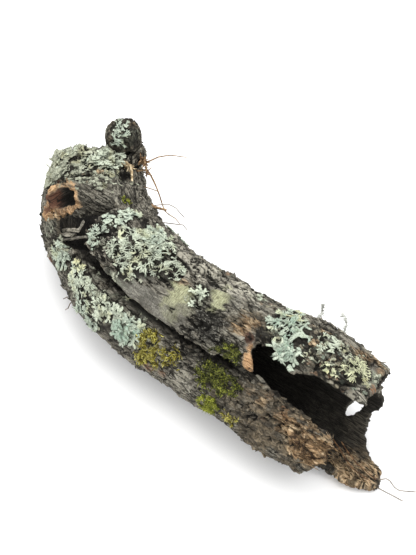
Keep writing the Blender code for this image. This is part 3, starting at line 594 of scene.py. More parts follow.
# Painted shade on the bark low down, near the table.
shade_near_table = (1 - smooth(skin_points[:, 2], 2 * MM, UNDERSIDE_TOP)) * (1 - stains["tan"])
stains["dark"] = np.maximum(stains["dark"], UNDERSIDE_SHADE * shade_near_table)
# Painted shade under the lichens.
stains["dark"] = np.maximum(stains["dark"], LICHEN_GAP_SHADE * covered)
stains["crust"] *= 1 - covered
give_bark_values(skin_mesh, skin_grain, stains, np.column_stack([np.clip(height, -3, 3), hollow, torn]))


def add_node(tree, kind, sockets=None, **settings):
    """A shader node with its settings, and the value or the link of each socket."""
    made = tree.nodes.new("ShaderNode" + kind)
    for name, value in settings.items():
        setattr(made, name, value)
    for name, value in (sockets or {}).items():
        if isinstance(value, bpy.types.NodeSocket):
            tree.links.new(value, made.inputs[name])
        else:
            made.inputs[name].default_value = value
    return made


def new_material(name, roughness):
    """A material, its node tree and its shader."""
    made = bpy.data.materials.new(name)
    made.use_nodes = True
    shader = made.node_tree.nodes["Principled BSDF"]
    shader.inputs["Roughness"].default_value = roughness
    shader.inputs["Specular IOR Level"].default_value = 0.25
    return made, made.node_tree, shader


def blended(tree, share, first, second, way="MIX"):
    """Two colours mixed by a share from 0 to 1."""
    made = add_node(tree, "Mix", data_type="RGBA", blend_type=way)
    for socket, value in ((made.inputs[0], share), (made.inputs[6], first), (made.inputs[7], second)):
        if isinstance(value, bpy.types.NodeSocket):
            tree.links.new(value, socket)
        else:
            socket.default_value = value if isinstance(value, (int, float)) else (*value, 1)
    return made.outputs[2]


def ranged(tree, value, low, high, new_low=0.0, new_high=1.0):
    """A value brought smoothly from one range to another."""
    made = add_node(tree, "MapRange", {"Value": value, "From Min": low, "From Max": high, "To Min": new_low,
                                       "To Max": new_high}, interpolation_type="SMOOTHSTEP")
    return made.outputs["Result"]


def laid(tree, under, over, value, low, high, least=0.0, most=1.0):
    """A colour laid over another where a value lies high in its range."""
    return blended(tree, ranged(tree, value, low, high, least, most), under, over)


def product(tree, first, second):
    """The product of two values."""
    made = add_node(tree, "Math", operation="MULTIPLY")
    for socket, value in zip(made.inputs, (first, second)):
        if isinstance(value, bpy.types.NodeSocket):
            tree.links.new(value, socket)
        else:
            socket.default_value = value
    return made.outputs[0]


def stored(tree, name):
    """The three values of a stored attribute."""
    made = add_node(tree, "Attribute", attribute_name=name)
    parts = add_node(tree, "SeparateXYZ", {"Vector": made.outputs["Vector"]})
    return parts.outputs[0], parts.outputs[1], parts.outputs[2]


def grain_noise(tree, size, stretch, detail, rough):
    """Noise on the bark's own grain, with its size across the grain and its stretch along it."""
    grain = add_node(tree, "Attribute", attribute_name="grain")
    scale = add_node(tree, "Mapping", {"Vector": grain.outputs["Vector"], "Scale": (1 / stretch, 1, 1)})
    made = add_node(tree, "TexNoise", {"Vector": scale.outputs["Vector"], "Scale": 1 / size, "Detail": detail,
                                       "Roughness": rough})
    return made.outputs["Fac"]


# The colours of the bark, its film and crust, the knobs, the specks, the inside and the bare wood, and the
# black of black crust and of painted shade.
BARK_BLACK_AND_SHADE = (0.008, 0.007, 0.005)
BARK_DARK = (0.068, 0.061, 0.048)
BARK_MID = (0.275, 0.254, 0.200)
BARK_PALE = (0.61, 0.58, 0.475)
TAN_DARK = (0.070, 0.040, 0.020)
TAN_MID = (0.42, 0.27, 0.140)
TAN_PALE = (0.82, 0.62, 0.385)
CORK_MID = (0.130, 0.096, 0.058)
CORK_PALE = (0.32, 0.245, 0.150)
RUST = (0.30, 0.130, 0.050)
RED_BROWN = (0.150, 0.072, 0.045)
FILM_DARK = (0.25, 0.25, 0.140)
FILM_YELLOW = (0.56, 0.57, 0.35)
CRUST_GREY = (0.30, 0.33, 0.25)
SMOOTH_DARK = (0.125, 0.120, 0.100)
SMOOTH_PALE = (0.340, 0.327, 0.278)
SMOOTH_SHADE = (0.085, 0.080, 0.066)
RIM_TINT = (0.92, 0.78, 0.68)
KNOB_DARK = (0.035, 0.028, 0.020)
KNOB_BROWN = (0.22, 0.19, 0.13)
KNOB_CREAM = (0.46, 0.42, 0.29)
KNOB_TAN = (0.36, 0.22, 0.13)
KNOB_GREEN = (0.30, 0.36, 0.28)
SPECK_DARK = (0.024, 0.022, 0.018)
SPECK_PALE = (0.36, 0.35, 0.30)
# The inside: painted shade, near black, over dark brown inner bark.
INSIDE_SHADE = (0.006, 0.005, 0.004)
INSIDE_BROWN = (0.040, 0.036, 0.029)
BARE_DARK = (0.014, 0.012, 0.009)
BARE_BROWN = (0.170, 0.150, 0.115)


def bumped(tree, height, distance, strength, under=None):
    """How the surface faces with bumps by a value, their height in millimetres, over other bumps."""
    sockets = {"Height": height, "Distance": distance * MM, "Strength": strength}
    if under is not None:
        sockets["Normal"] = under
    return add_node(tree, "Bump", sockets).outputs["Normal"]


def crackle(tree, size, stretch):
    """The distance to the nearest crack of a net of fine cracks, drawn out along the grain."""
    grain = add_node(tree, "Attribute", attribute_name="grain")
    scale = add_node(tree, "Mapping", {"Vector": grain.outputs["Vector"], "Scale": (1 / stretch, 1, 1)})
    warp = add_node(tree, "TexNoise", {"Vector": scale.outputs["Vector"], "Scale": 0.6 / size, "Detail": 2.0})
    bent = add_node(tree, "Mix", data_type="VECTOR")
    bent.inputs[0].default_value = 0.0025
    tree.links.new(scale.outputs["Vector"], bent.inputs[4])
    tree.links.new(warp.outputs["Color"], bent.inputs[5])
    made = add_node(tree, "TexVoronoi", {"Vector": bent.outputs[1], "Scale": 1 / size},
                    feature="DISTANCE_TO_EDGE")
    return made.outputs["Distance"]


def bark_material():
    """Raw bark: grey-brown with painted shade in its cracks and low places, pale weathered ridges with painted
    highlight, and the stains of its places.
    """
    made, tree, shader = new_material("bark", 0.92)
    tan, cork, rust = stored(tree, "stain_warm")
    yellow, crust, pale = stored(tree, "stain_film")
    dark, red, specks = stored(tree, "stain_deep")
    height, hollow, torn = stored(tree, "form")
    knobs, calm, bared = stored(tree, "stain_form")
    streaks = grain_noise(tree, 1.0 * MM, 5.0, 5.0, 0.75)
    hatch = grain_noise(tree, 3.5 * MM, 0.16, 4.0, 0.8)
    grit = grain_noise(tree, 1.0 * MM, 1.3, 5.0, 0.8)
    patches = grain_noise(tree, 9 * MM, 1.8, 5.0, 0.65)
    fibres = grain_noise(tree, 0.8 * MM, 10.0, 4.0, 0.8)
    ledges = grain_noise(tree, 2.6 * MM, 2.2, 4.0, 0.65)
    veil = grain_noise(tree, 13 * MM, 0.7, 3.0, 0.5)
    cracks = crackle(tree, 2.6 * MM, 2.4)
    splits = crackle(tree, 6.0 * MM, 3.2)
    # Rough grey bark
    colour = laid(tree, BARK_DARK, BARK_MID, streaks, 0.38, 0.58)
    colour = laid(tree, colour, BARK_DARK, patches, 0.44, 0.62, 0.0, 0.75)
    colour = blended(tree, product(tree, ranged(tree, grit, 0.53, 0.66), 0.8), colour, BARK_PALE)
    # Paler on the high places of the relief: weathering, with painted highlight.
    colour = laid(tree, colour, BARK_PALE, height, 0.2, 1.6, 0.0, 0.45)
    colour = blended(tree, product(tree, pale, ranged(tree, grit, 0.33, 0.47)), colour, BARK_PALE)
    # Smooth bark
    smoothed = laid(tree, SMOOTH_DARK, SMOOTH_PALE, hatch, 0.30, 0.70)
    smoothed = laid(tree, smoothed, SMOOTH_SHADE, veil, 0.44, 0.60, 0.0, 0.6)
    smoothed = laid(tree, smoothed, BARK_PALE, streaks, 0.54, 0.64, 0.0, 0.5)
    smoothed = laid(tree, smoothed, BARK_DARK, streaks, 0.34, 0.46, 0.5, 0.0)
    smoothed = laid(tree, smoothed, BARK_DARK, patches, 0.50, 0.68, 0.0, 0.6)
    # Painted shade in the cracks of smooth bark.
    smoothed = laid(tree, smoothed, BARK_BLACK_AND_SHADE, cracks, 0.0, 0.05, 0.6, 0.0)
    colour = blended(tree, product(tree, calm, 0.95), colour, smoothed)
    # Crumbly cork
    cork_colour = laid(tree, CORK_MID, CORK_PALE, ledges, 0.42, 0.60)
    cork_colour = laid(tree, cork_colour, BARK_DARK, grit, 0.40, 0.50, 0.6, 0.0)
    cork_colour = laid(tree, cork_colour, BARK_DARK, streaks, 0.36, 0.50, 0.8, 0.0)
    cork_colour = laid(tree, cork_colour, BARK_DARK, hatch, 0.34, 0.46, 0.6, 0.0)
    cork_colour = laid(tree, cork_colour, BARK_DARK, patches, 0.46, 0.60, 0.0, 0.7)
    colour = blended(tree, product(tree, cork, 0.85), colour, cork_colour)
    # Tan fibres, where the bark is torn
    tan_colour = laid(tree, TAN_DARK, TAN_MID, fibres, 0.36, 0.46)
    tan_colour = laid(tree, tan_colour, TAN_PALE, fibres, 0.44, 0.55)
    crumbly = laid(tree, TAN_DARK, TAN_MID, ledges, 0.40, 0.50)
    crumbly = laid(tree, crumbly, TAN_PALE, ledges, 0.52, 0.62)
    tan_colour = laid(tree, tan_colour, crumbly, cork, 0.2, 0.7)
    tan_colour = laid(tree, tan_colour, TAN_DARK, patches, 0.53, 0.66, 0.0, 0.6)
    tan_colour = blended(tree, calm, tan_colour, RIM_TINT, "MULTIPLY")
    tan_share = product(tree, tan, ranged(tree, height, -1.3, -0.2, 0.25, 1.0))
    colour = blended(tree, tan_share, colour, tan_colour)
    torn_share = product(tree, torn, ranged(tree, patches, 0.40, 0.60, 0.10, 0.6))
    colour = blended(tree, torn_share, colour, cork_colour)
    # Films and crusts on the bark
    film = laid(tree, FILM_DARK, FILM_YELLOW, hatch, 0.42, 0.56)
    film = laid(tree, film, BARK_DARK, grit, 0.34, 0.44, 0.7, 0.0)
    colour = blended(tree, product(tree, yellow, 0.85), colour, film)
    crusted = product(tree, crust, ranged(tree, grit, 0.44, 0.54))
    colour = blended(tree, crusted, colour, CRUST_GREY)
    # Knobs, each with its own colour, with painted shade between them
    place = add_node(tree, "TexCoord").outputs["Object"]
    lump = add_node(tree, "TexVoronoi", {"Vector": place, "Scale": 1 / (3.2 * MM)})
    kind = add_node(tree, "SeparateXYZ", {"Vector": lump.outputs["Color"]})
    knob_colour = laid(tree, KNOB_DARK, KNOB_BROWN, kind.outputs[0], 0.25, 0.45)
    knob_colour = laid(tree, knob_colour, KNOB_CREAM, kind.outputs[0], 0.60, 0.66)
    knob_colour = laid(tree, knob_colour, KNOB_TAN, kind.outputs[1], 0.80, 0.84)
    knob_colour = laid(tree, knob_colour, KNOB_GREEN, kind.outputs[2], 0.78, 0.84)
    knob_colour = laid(tree, knob_colour, BARK_BLACK_AND_SHADE, lump.outputs["Distance"], 0.42, 0.62)
    knob_colour = laid(tree, knob_colour, BARK_DARK, grit, 0.38, 0.50, 0.7, 0.0)
    colour = blended(tree, product(tree, knobs, 0.85), colour, knob_colour)
    # Specks, rust and the red-brown of the side branch's hollow
    salted = laid(tree, SPECK_DARK, SPECK_PALE, grit, 0.50, 0.62)
    colour = blended(tree, product(tree, specks, 0.9), colour, salted)
    colour = blended(tree, product(tree, rust, ranged(tree, grit, 0.42, 0.56)), colour, RUST)
    colour = blended(tree, red, colour, RED_BROWN)
    # Painted shade in the cracks, fewer in smooth bark and in cork, and in the low places of the relief
    whole = product(tree, ranged(tree, calm, 0.0, 0.6, 1.0, 0.0), ranged(tree, cork, 0.1, 0.7, 1.0, 0.6))
    crack = product(tree, ranged(tree, cracks, 0.02, 0.16, 0.95, 0.0), ranged(tree, patches, 0.46, 0.56))
    colour = blended(tree, product(tree, crack, whole), colour, BARK_BLACK_AND_SHADE)
    split = product(tree, ranged(tree, splits, 0.02, 0.09, 0.95, 0.0), ranged(tree, patches, 0.60, 0.50))
    colour = blended(tree, product(tree, product(tree, split, 0.8), whole), colour, BARK_BLACK_AND_SHADE)
    colour = laid(tree, colour, BARK_BLACK_AND_SHADE, height, -1.4, -0.4, 0.95, 0.0)
    # The inside, dark brown bark under painted shade; the bare wood; and the dark marks, mostly painted shade
    inside = laid(tree, INSIDE_SHADE, INSIDE_BROWN, fibres, 0.40, 0.66)
    bare = laid(tree, BARE_DARK, BARE_BROWN, fibres, 0.42, 0.60)
    colour = blended(tree, bared, colour, bare)
    colour = blended(tree, product(tree, hollow, 0.95), colour, inside)
    colour = blended(tree, product(tree, dark, 0.92), colour, BARK_BLACK_AND_SHADE)
    tree.links.new(colour, shader.inputs["Base Color"])
    bump = bumped(tree, streaks, 0.9, 1.0)
    bump = bumped(tree, hatch, 0.7, 0.8, bump)
    bump = bumped(tree, grit, 0.9, 1.0, bump)
    bump = bumped(tree, ranged(tree, cracks, 0.0, 0.16), 0.4, 0.8, bump)
    tree.links.new(bump, shader.inputs["Normal"])
    return made


bark_look = bark_material()
wear(skin_mesh, bark_look)

none = np.zeros(len(stub_points))
stub_stains = mark_shares(stub_points, stub_grain, MARKS)
stub_stains["cork"] = np.maximum(stub_stains["cork"], 0.6)
lined = smooth(drawn(stub_grain, 18, 2.2, 44), -0.05, 0.25)
stub_stains["dark"] = np.maximum(stub_stains["dark"], 0.25 + 0.6 * lined)
give_bark_values(stub_mesh, stub_grain, stub_stains, np.column_stack([stub_rise - 0.6, none, none]))
wear(stub_mesh, bark_look)


# The flakes of the bark
# Rough bark sheds small flakes and crumbs, which still hang on along its grain, most of all round the
# torn ends and on the knobbly roof.
FLAKE_COUNT = 4600
HUG_REACH = 3.5 * MM            # small shapes follow the bark where it is this near
HUG_SHARE = 0.8                 # how closely they follow it


def picked(chance, weights, count):
    """The numbers of some places, picked at random by their weights."""
    return chance.choice(len(weights), size=count, p=weights / weights.sum())


def shape_arrays(bm):
    """The corners of a small shape as an array, and its faces as lists of corners."""
    bm.verts.index_update()
    corners = np.array([vert.co for vert in bm.verts])
    faces = [[vert.index for vert in face.verts] for face in bm.faces]
    bm.free()
    return corners, faces


def flake_shape(seed):
    """A rough flat flake, one unit long, that stands up at one end: its corners and faces."""
    chance = np.random.default_rng(seed)
    bm = bmesh.new()
    bmesh.ops.create_grid(bm, x_segments=2, y_segments=1, size=0.5)
    for vert in bm.verts:
        narrow = 0.35 if abs(vert.co.x) > 0.4 else 0.62
        vert.co.y *= narrow * chance.uniform(0.6, 1.1)
        vert.co.x += 0.5 + chance.uniform(-0.12, 0.12)
        vert.co.z = 0.12 * vert.co.x + chance.uniform(-0.06, 0.06)
    bmesh.ops.solidify(bm, geom=bm.faces[:], thickness=chance.uniform(0.08, 0.16))
    bmesh.ops.recalc_face_normals(bm, faces=bm.faces)
    return shape_arrays(bm)


def grown(name, shapes, which, bases, ways, normals, sizes, lift, hug=True):
    """Small shapes planted on the bark, as one mesh: each starts at its base and follows the bark on its way.

    Gives back the mesh, how far out along its own shape each corner is, and the number of its shape.
    """
    sides = np.cross(normals, ways)
    corners, along, number, loops, starts = [], [], [], [], []
    used = 0
    for i, kind in enumerate(which):
        shape, faces = shapes[kind]
        spot = (bases[i] + shape[:, :1] * ways[i] * sizes[i] + shape[:, 1:2] * sides[i] * sizes[i])
        rise = lift[i] + shape[:, 2] * sizes[i]
        if hug:
            for k, p in enumerate(spot):
                place, _, _, away = skin_tree.find_nearest(p)
                if away < HUG_REACH:
                    spot[k] = np.array(place) * HUG_SHARE + p * (1 - HUG_SHARE)
        spot = spot + normals[i] * rise[:, None]
        spot[:, 2] = np.maximum(spot[:, 2], 0)
        corners.append(spot)
        along.append(shape[:, 0])
        number.append(np.full(len(shape), i))
        for face in faces:
            starts.append(len(loops))
            loops.extend(used + k for k in face)
        used += len(shape)
    mesh = bpy.data.meshes.new(name)
    mesh.vertices.add(used)
    mesh.vertices.foreach_set("co", np.vstack(corners).ravel())
    mesh.loops.add(len(loops))
    mesh.loops.foreach_set("vertex_index", np.array(loops, np.int32))
    mesh.polygons.add(len(starts))
    mesh.polygons.foreach_set("loop_start", np.array(starts, np.int32))
    mesh.update(calc_edges=True)
    mesh.validate()
    mesh.shade_smooth()
    return mesh, np.concatenate(along), np.concatenate(number)


def flattened(ways, normals):
    """Directions brought into the surface and made one unit long."""
    ways = ways - normals * (ways * normals).sum(1)[:, None]
    return ways / np.maximum(np.linalg.norm(ways, axis=1), 1e-9)[:, None]


def along_grain(points, normals):
    """The way that the bark's grain runs at each point."""
    station = bark_place(points)[0]
    nearest = np.clip(np.round((station + 1) * SPINE_STEPS).astype(int), 0, len(spine_along) - 1)
    ways = np.column_stack([spine_along[nearest], np.zeros(len(points))])
    ways[grain_of(points)[2]] = -BRANCH_LINE
    return flattened(ways, normals)


chance = np.random.default_rng(50)
weights = (0.14 + 0.8 * stains["knobs"] + 0.7 * stains["cork"] * (1 - 0.6 * stains["tan"])
           + 0.25 * smooth(noise(skin_grain, 18 * MM, 30), 0.0, 0.5))
weights = (facing > 0.2) * weights * (1 - 0.95 * stains["smooth"])
weights += 0.25 * torn * (1 - hollow) * (1 - fringe) * (1 - stains["smooth"])
weights *= (1 - covered) * smooth(skin_points[:, 2], 2 * MM, 22 * MM) * (1 - mouth_wall)
chosen = picked(chance, weights, FLAKE_COUNT)
normals = unit(skin_normals[chosen] + 0.16 * chance.normal(size=(FLAKE_COUNT, 3)))
ways = along_grain(skin_points[chosen], normals)
turned = chance.random(FLAKE_COUNT) < 0.5
ways = np.where(turned[:, None], -ways, ways)
ways = flattened(ways + 0.35 * chance.normal(size=(FLAKE_COUNT, 3)), normals)
torn_cork = (stains["cork"] * stains["tan"])[chosen]
sizes = chance.gamma(4.0, 0.75, FLAKE_COUNT).clip(1.2, 6.5) * MM * (1 + 0.5 * torn_cork)
flake_shapes = [flake_shape(seed) for seed in range(8)]
which = chance.integers(len(flake_shapes), size=FLAKE_COUNT)
bases = skin_points[chosen] - ways * sizes[:, None] * 0.5
flake_mesh, _, owner = grown("bark_flakes", flake_shapes, which, bases, ways, normals, sizes,
                             np.full(FLAKE_COUNT, -0.1 * MM), False)
flake_mesh.shade_flat()
owner_of = chosen[owner]
flake_points = mesh_arrays(flake_mesh)[0]
shade = chance.uniform(-0.6, 1.6, FLAKE_COUNT)[owner]
give_bark_values(flake_mesh, grain_of(flake_points)[0], {kind: stains[kind][owner_of] for kind in MARKS},
                 np.column_stack([shade, hollow[owner_of], torn[owner_of]]))
bark_flakes = new_object("bark_flakes", flake_mesh, bark_look)
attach(bark_flakes, "root")


# The knobs of the roof
# Round chips of tan bark, knobs of old crust and a black crust stand on the roof and at the window's end,
# and a few on the top edge and at the far end.

# Each group: the pixel, the reach in pixels, how many, how big, and how tan, dark and knobbly.
KNOBS = [
    (265, 338, 9, 40, 2.6 * MM, 0, 0.97, 0),
    (258, 346, 5, 16, 2.0 * MM, 0, 0.97, 0),
    (300, 352, 7, 14, 2.4 * MM, 0, 0.9, 0),
    (332, 366, 15, 70, 3.0 * MM, 0, 0.0, 1),
    (318, 352, 7, 16, 2.6 * MM, 0, 0.3, 1),
    (314, 344, 3, 3, 5.2 * MM, 1, 0, 0),
    (322, 329, 1, 1, 4.6 * MM, 1, 0, 0),
    (345, 376, 8, 20, 2.6 * MM, 0, 0.6, 1),
    (366, 392, 5, 6, 2.4 * MM, 0, 0, 1),
    (330, 340, 10, 22, 2.4 * MM, 0, 0.2, 1),
    (309, 366, 4, 10, 3.4 * MM, 0.1, 0.1, 0.6),
    (221, 271, 5, 9, 3.8 * MM, 0.3, 0, 0.4),
    (264, 294, 5, 7, 4.0 * MM, 0.5, 0, 0.3),
    (229, 279, 2, 4, 2.2 * MM, 0, 1, 0),
    (100, 172, 2, 2, 4.5 * MM, 0.9, 0, 0),
    (77, 160, 5, 12, 2.2 * MM, 0, 0.9, 0.3),
    (62, 181, 4, 8, 2.0 * MM, 0, 0.9, 0),
]


def knob_shape(seed):
    """A rough round knob, one unit across and squashed low: its corners and faces."""
    chance = np.random.default_rng(seed)
    bm = bmesh.new()
    bmesh.ops.create_uvsphere(bm, u_segments=7, v_segments=5, radius=0.5)
    for vert in bm.verts:
        vert.co *= chance.uniform(0.82, 1.12)
        vert.co.x *= 1.15
        vert.co.z *= 0.7
        vert.co.x += 0.5
    return shape_arrays(bm)


knob_shapes = [knob_shape(seed + 600) for seed in range(5)]
chance = np.random.default_rng(61)
spots, group = [], []
for number, (u, v, reach, count, *_) in enumerate(KNOBS):
    middle, _ = seen(u, v)
    for turn, part in zip(chance.uniform(0, 2 * math.pi, count), np.sqrt(chance.random(count))):
        spot, _ = seen(u + reach * part * math.cos(turn), v + reach * part * math.sin(turn))
        if spot and middle and (spot - middle).length < (2.2 * reach + 3) * MM:
            spots.append(spot[:])
            group.append(number)
spots, group = np.array(spots), np.array(group)
found = [skin_tree.find_nearest(spot) for spot in spots]
bases, outs = np.array([f[0] for f in found]), np.array([f[1] for f in found])
ways = along_grain(bases, outs)
sizes = np.array([KNOBS[k][4] for k in group]) * chance.uniform(0.55, 1.2, len(group))
which = chance.integers(len(knob_shapes), size=len(group))
bases = bases - ways * sizes[:, None] * 0.5
knob_mesh, _, owner = grown("roof_knobs", knob_shapes, which, bases, ways, outs, sizes,
                            np.zeros(len(group)), False)
none = np.zeros(len(owner))
knob_stains = {kind: none for kind in MARKS}
for kind, column in (("tan", 5), ("dark", 6), ("knobs", 7)):
    share = np.array([KNOBS[k][column] for k in group]) * chance.uniform(0.7, 1.0, len(group))
    knob_stains[kind] = share[owner]
knob_grain = grain_of(mesh_arrays(knob_mesh)[0])[0]
give_bark_values(knob_mesh, knob_grain, knob_stains, np.column_stack([none + 0.3, none, none]))
knob_mesh.set_sharp_from_angle(angle=CRISP_ANGLE)
roof_knobs = new_object("roof_knobs", knob_mesh, bark_look)
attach(roof_knobs, "root")


# The torn fibres
# Where the bark is torn, at the lip, the tongue, the side branch's mouth and the window's end, its tan
# inner fibres stand out along the grain.
SPLINTER_COUNT = 1500
FIBRE_ROWS = ((0.3, 1.1), (0.7, 0.8), (1.0, 0.15))


def drawn_out(bm, edges):
    """Draws edges of a small shape out, and gives back the new corners and edges."""
    out = bmesh.ops.extrude_edge_only(bm, edges=edges)["geom"]
    fresh = [item for item in out if isinstance(item, bmesh.types.BMVert)]
    return fresh, [item for item in out if isinstance(item, bmesh.types.BMEdge)]


def tapered_shape(seed, sides, half_width, bend, rows):
    """A thin tapering stem, one unit long, that bends over on its way: its corners and faces.

    Each row is how far up a ring lies, and its share of the width.
    """
    chance = np.random.default_rng(seed)
    bm = bmesh.new()
    bmesh.ops.create_circle(bm, cap_ends=False, segments=sides, radius=half_width)
    ring = bm.edges[:]
    for rise, width in rows:
        fresh, ring = drawn_out(bm, ring)
        ring = [edge for edge in ring if all(vert in fresh for vert in edge.verts)]
        centre = sum((vert.co for vert in fresh), Vector()) / sides
        way = Vector((bend * rise ** 2, chance.uniform(-0.08, 0.08) * rise, rise))
        for vert in fresh:
            vert.co = way + (vert.co - centre).normalized() * half_width * width
    bmesh.ops.holes_fill(bm, edges=bm.edges)
    bmesh.ops.recalc_face_normals(bm, faces=bm.faces)
    return shape_arrays(bm)


weights = (stains["tan"] - 0.25).clip(0) * (0.5 + torn) * (1 - stains["smooth"]) * (1 - fringe)
weights *= (1 - 0.85 * stains["cork"]) * (stains["smooth"] < 0.05)
weights *= skin_points[:, 2] > 9 * MM
chosen = picked(chance, weights, SPLINTER_COUNT)
outs = skin_normals[chosen]
ways = along_grain(skin_points[chosen], outs)
back = (along_grain(skin_points[chosen], skin_outward[chosen]) * outs).sum(1) < 0
back = np.where(np.abs((ways * outs).sum(1)) < 0.02, chance.random(SPLINTER_COUNT) < 0.5, back)
ways = np.where(back[:, None], -ways, ways)
ways = unit(ways + 0.12 * chance.normal(size=(SPLINTER_COUNT, 3)) + 0.02 * outs)
sizes = chance.gamma(5.0, 1.0, SPLINTER_COUNT).clip(2.0, 9.0) * MM
sizes *= 1 - 0.45 * torn[chosen]
splinter_shapes = [tapered_shape(seed + 70, 4, 0.030 + 0.008 * seed, 0.10, FIBRE_ROWS) for seed in range(5)]
which = chance.integers(len(splinter_shapes), size=SPLINTER_COUNT)
splinter_mesh, _, owner = grown("torn_fibres", splinter_shapes, which, skin_points[chosen] - ways * 0.8 * MM,
                                flattened(outs + 1e-3, ways), ways, sizes, np.zeros(SPLINTER_COUNT), False)
owner_of = chosen[owner]
fibre_stains = {kind: stains[kind][owner_of] for kind in MARKS}
fibre_stains["tan"] = np.maximum(fibre_stains["tan"], chance.uniform(0.3, 1.0, SPLINTER_COUNT)[owner])
fibre_stains["dark"] = np.where(chance.random(SPLINTER_COUNT)[owner] < 0.25, 0.7, fibre_stains["dark"] * 0.5)
give_bark_values(splinter_mesh, grain_of(mesh_arrays(splinter_mesh)[0])[0], fibre_stains,
                 np.column_stack([chance.uniform(-0.3, 1.4, SPLINTER_COUNT)[owner], 0 * owner, 0 * owner]))
torn_fibres = new_object("torn_fibres", splinter_mesh, bark_look)
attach(torn_fibres, "root")


# The loose strips
# Two thin strips and a curled chip of torn bark hang in the hollow under the side branch.
STRIP_VOXEL = 0.45 * MM

for name, darkness in (("bark_strip_long", 0.0), ("bark_strip_short", 0.1), ("bark_chip", 0.0)):
    strip = new_object(name + "_torn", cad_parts[name].data.copy())
    mesh = remeshed(strip, STRIP_VOXEL, 4)
    points, normals = mesh_arrays(mesh)
    line = np.linalg.svd(points - points.mean(0), full_matrices=False)[2][0]
    ahead, across = by_line(points, points.mean(0), line)
    grain = np.column_stack([ahead, across[:, 0] + across[:, 1], across[:, 2]])
    ragged = 0.35 * drawn(grain, 4, 0.9, 71) + 0.3 * noise(points, 3 * MM, 72)
    points += normals * ragged[:, None] * MM
    reshape(mesh, points)
    mesh.shade_smooth()
    none = np.zeros(len(points))
    strip_stains = {kind: none for kind in MARKS}
    strip_stains["dark"] = darkness + 0.2 * smooth(drawn(grain, 9, 1.5, 73), -0.1, 0.4)
    strip_stains["cork"] = none + 0.4
    strip_stains["pale"] = 0.5 + 0.5 * smooth(drawn(grain, 12, 1.2, 74), 0.0, 0.3)
    give_bark_values(mesh, grain, strip_stains, np.column_stack([none + 1.6, none, none]))
    wear(mesh, bark_look)
    strip.data = mesh
    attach(strip, "root")
    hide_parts(name)


# The lichens
# Leafy lichens grow on the bark as lobes that fork on their way out and lie over each other, with dark
# gaps between them. Each patch is one plant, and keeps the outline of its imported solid.
SHEET_THICKNESS = 0.35 * MM
SHEET_REACH = 3 * MM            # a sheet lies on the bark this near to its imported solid
LOBE_THICKNESS = 0.06           # of the lobe's length


def softened(bm, verts, factor):
    """Smooths the given corners of a mesh once."""
    bmesh.ops.smooth_vert(bm, verts=verts, factor=factor, use_axis_x=True, use_axis_y=True, use_axis_z=True)


def stretched(bm, edge, heading, length, half_width):
    """Draws a flat strip out from one of its end edges, and gives back its new end edge."""
    bottom, top = edge
    step = Vector((math.cos(heading), math.sin(heading), 0)) * length
    fresh, _ = drawn_out(bm, [bm.edges.get(edge)])
    middle = (bottom.co + top.co) / 2 + step
    low, high = sorted(fresh, key=lambda vert: (vert.co - bottom.co).length)
    side = Vector((-math.sin(heading), math.cos(heading), 0)) * half_width
    low.co = middle - side
    high.co = middle + side
    return low, high


def lobe_shape(seed, forks, half_width, spread, steps=2):
    """A flat lobe that forks on its way out, one unit long, with rounded tips: its corners and faces."""
    chance = np.random.default_rng(seed)
    bm = bmesh.new()
    bmesh.ops.create_grid(bm, x_segments=1, y_segments=1, size=half_width)
    ends = [(tuple(sorted((v for v in bm.verts if v.co.x > 0), key=lambda v: v.co.y)), 0.0, half_width)]
    length = 1.0 / (forks + 1) / steps
    for level in range(forks + 1):
        grown = []
        for edge, heading, width in ends:
            for step in range(steps + (level == forks)):
                tip = step == steps
                wide = width * (0.5 if tip else 1.0 + 0.3 * (step == 0) + 0.2 * (level == forks))
                wide *= chance.uniform(0.85, 1.15)
                long = length * chance.uniform(0.8, 1.2) * (0.35 if tip else 1)
                edge = stretched(bm, edge, heading, long, wide)
                heading += chance.uniform(-0.2, 0.2)
            if level < forks:
                middle = bmesh.utils.edge_split(bm.edges.get(edge), edge[0], 0.5)[1]
                turn = spread * chance.uniform(0.7, 1.3)
                grown.append(((edge[0], middle), heading - turn, width * 0.62))
                grown.append(((middle, edge[1]), heading + turn, width * 0.62))
        ends = grown
    for vert in bm.verts:
        vert.co.z += 0.10 * vert.co.x ** 2 + 0.05 * vert.is_boundary * chance.uniform(0, 1)
    bmesh.ops.recalc_face_normals(bm, faces=bm.faces)
    bmesh.ops.solidify(bm, geom=bm.faces[:], thickness=LOBE_THICKNESS)
    bmesh.ops.recalc_face_normals(bm, faces=bm.faces)
    return shape_arrays(bm)


def scale_shape(seed):
    """A round scale with a scalloped rim, one unit long, that stands on one edge: its corners and faces."""
    chance = np.random.default_rng(seed)
    bm = bmesh.new()
    bmesh.ops.create_circle(bm, cap_ends=True, cap_tris=True, segments=12, radius=0.5)
    for vert in bm.verts:
        turn = math.atan2(vert.co.y, vert.co.x)
        grown = 1 + 0.16 * math.cos(4.5 * turn + seed) + chance.uniform(-0.08, 0.08)
        vert.co.x, vert.co.y = vert.co.x * grown + 0.5, vert.co.y * grown
        vert.co.z = 0.10 * vert.co.x + 0.16 * (vert.co.y ** 2 + (vert.co.x - 0.5) ** 2)
    bmesh.ops.solidify(bm, geom=bm.faces[:], thickness=LOBE_THICKNESS * 1.3)
    bmesh.ops.recalc_face_normals(bm, faces=bm.faces)
    return shape_arrays(bm)


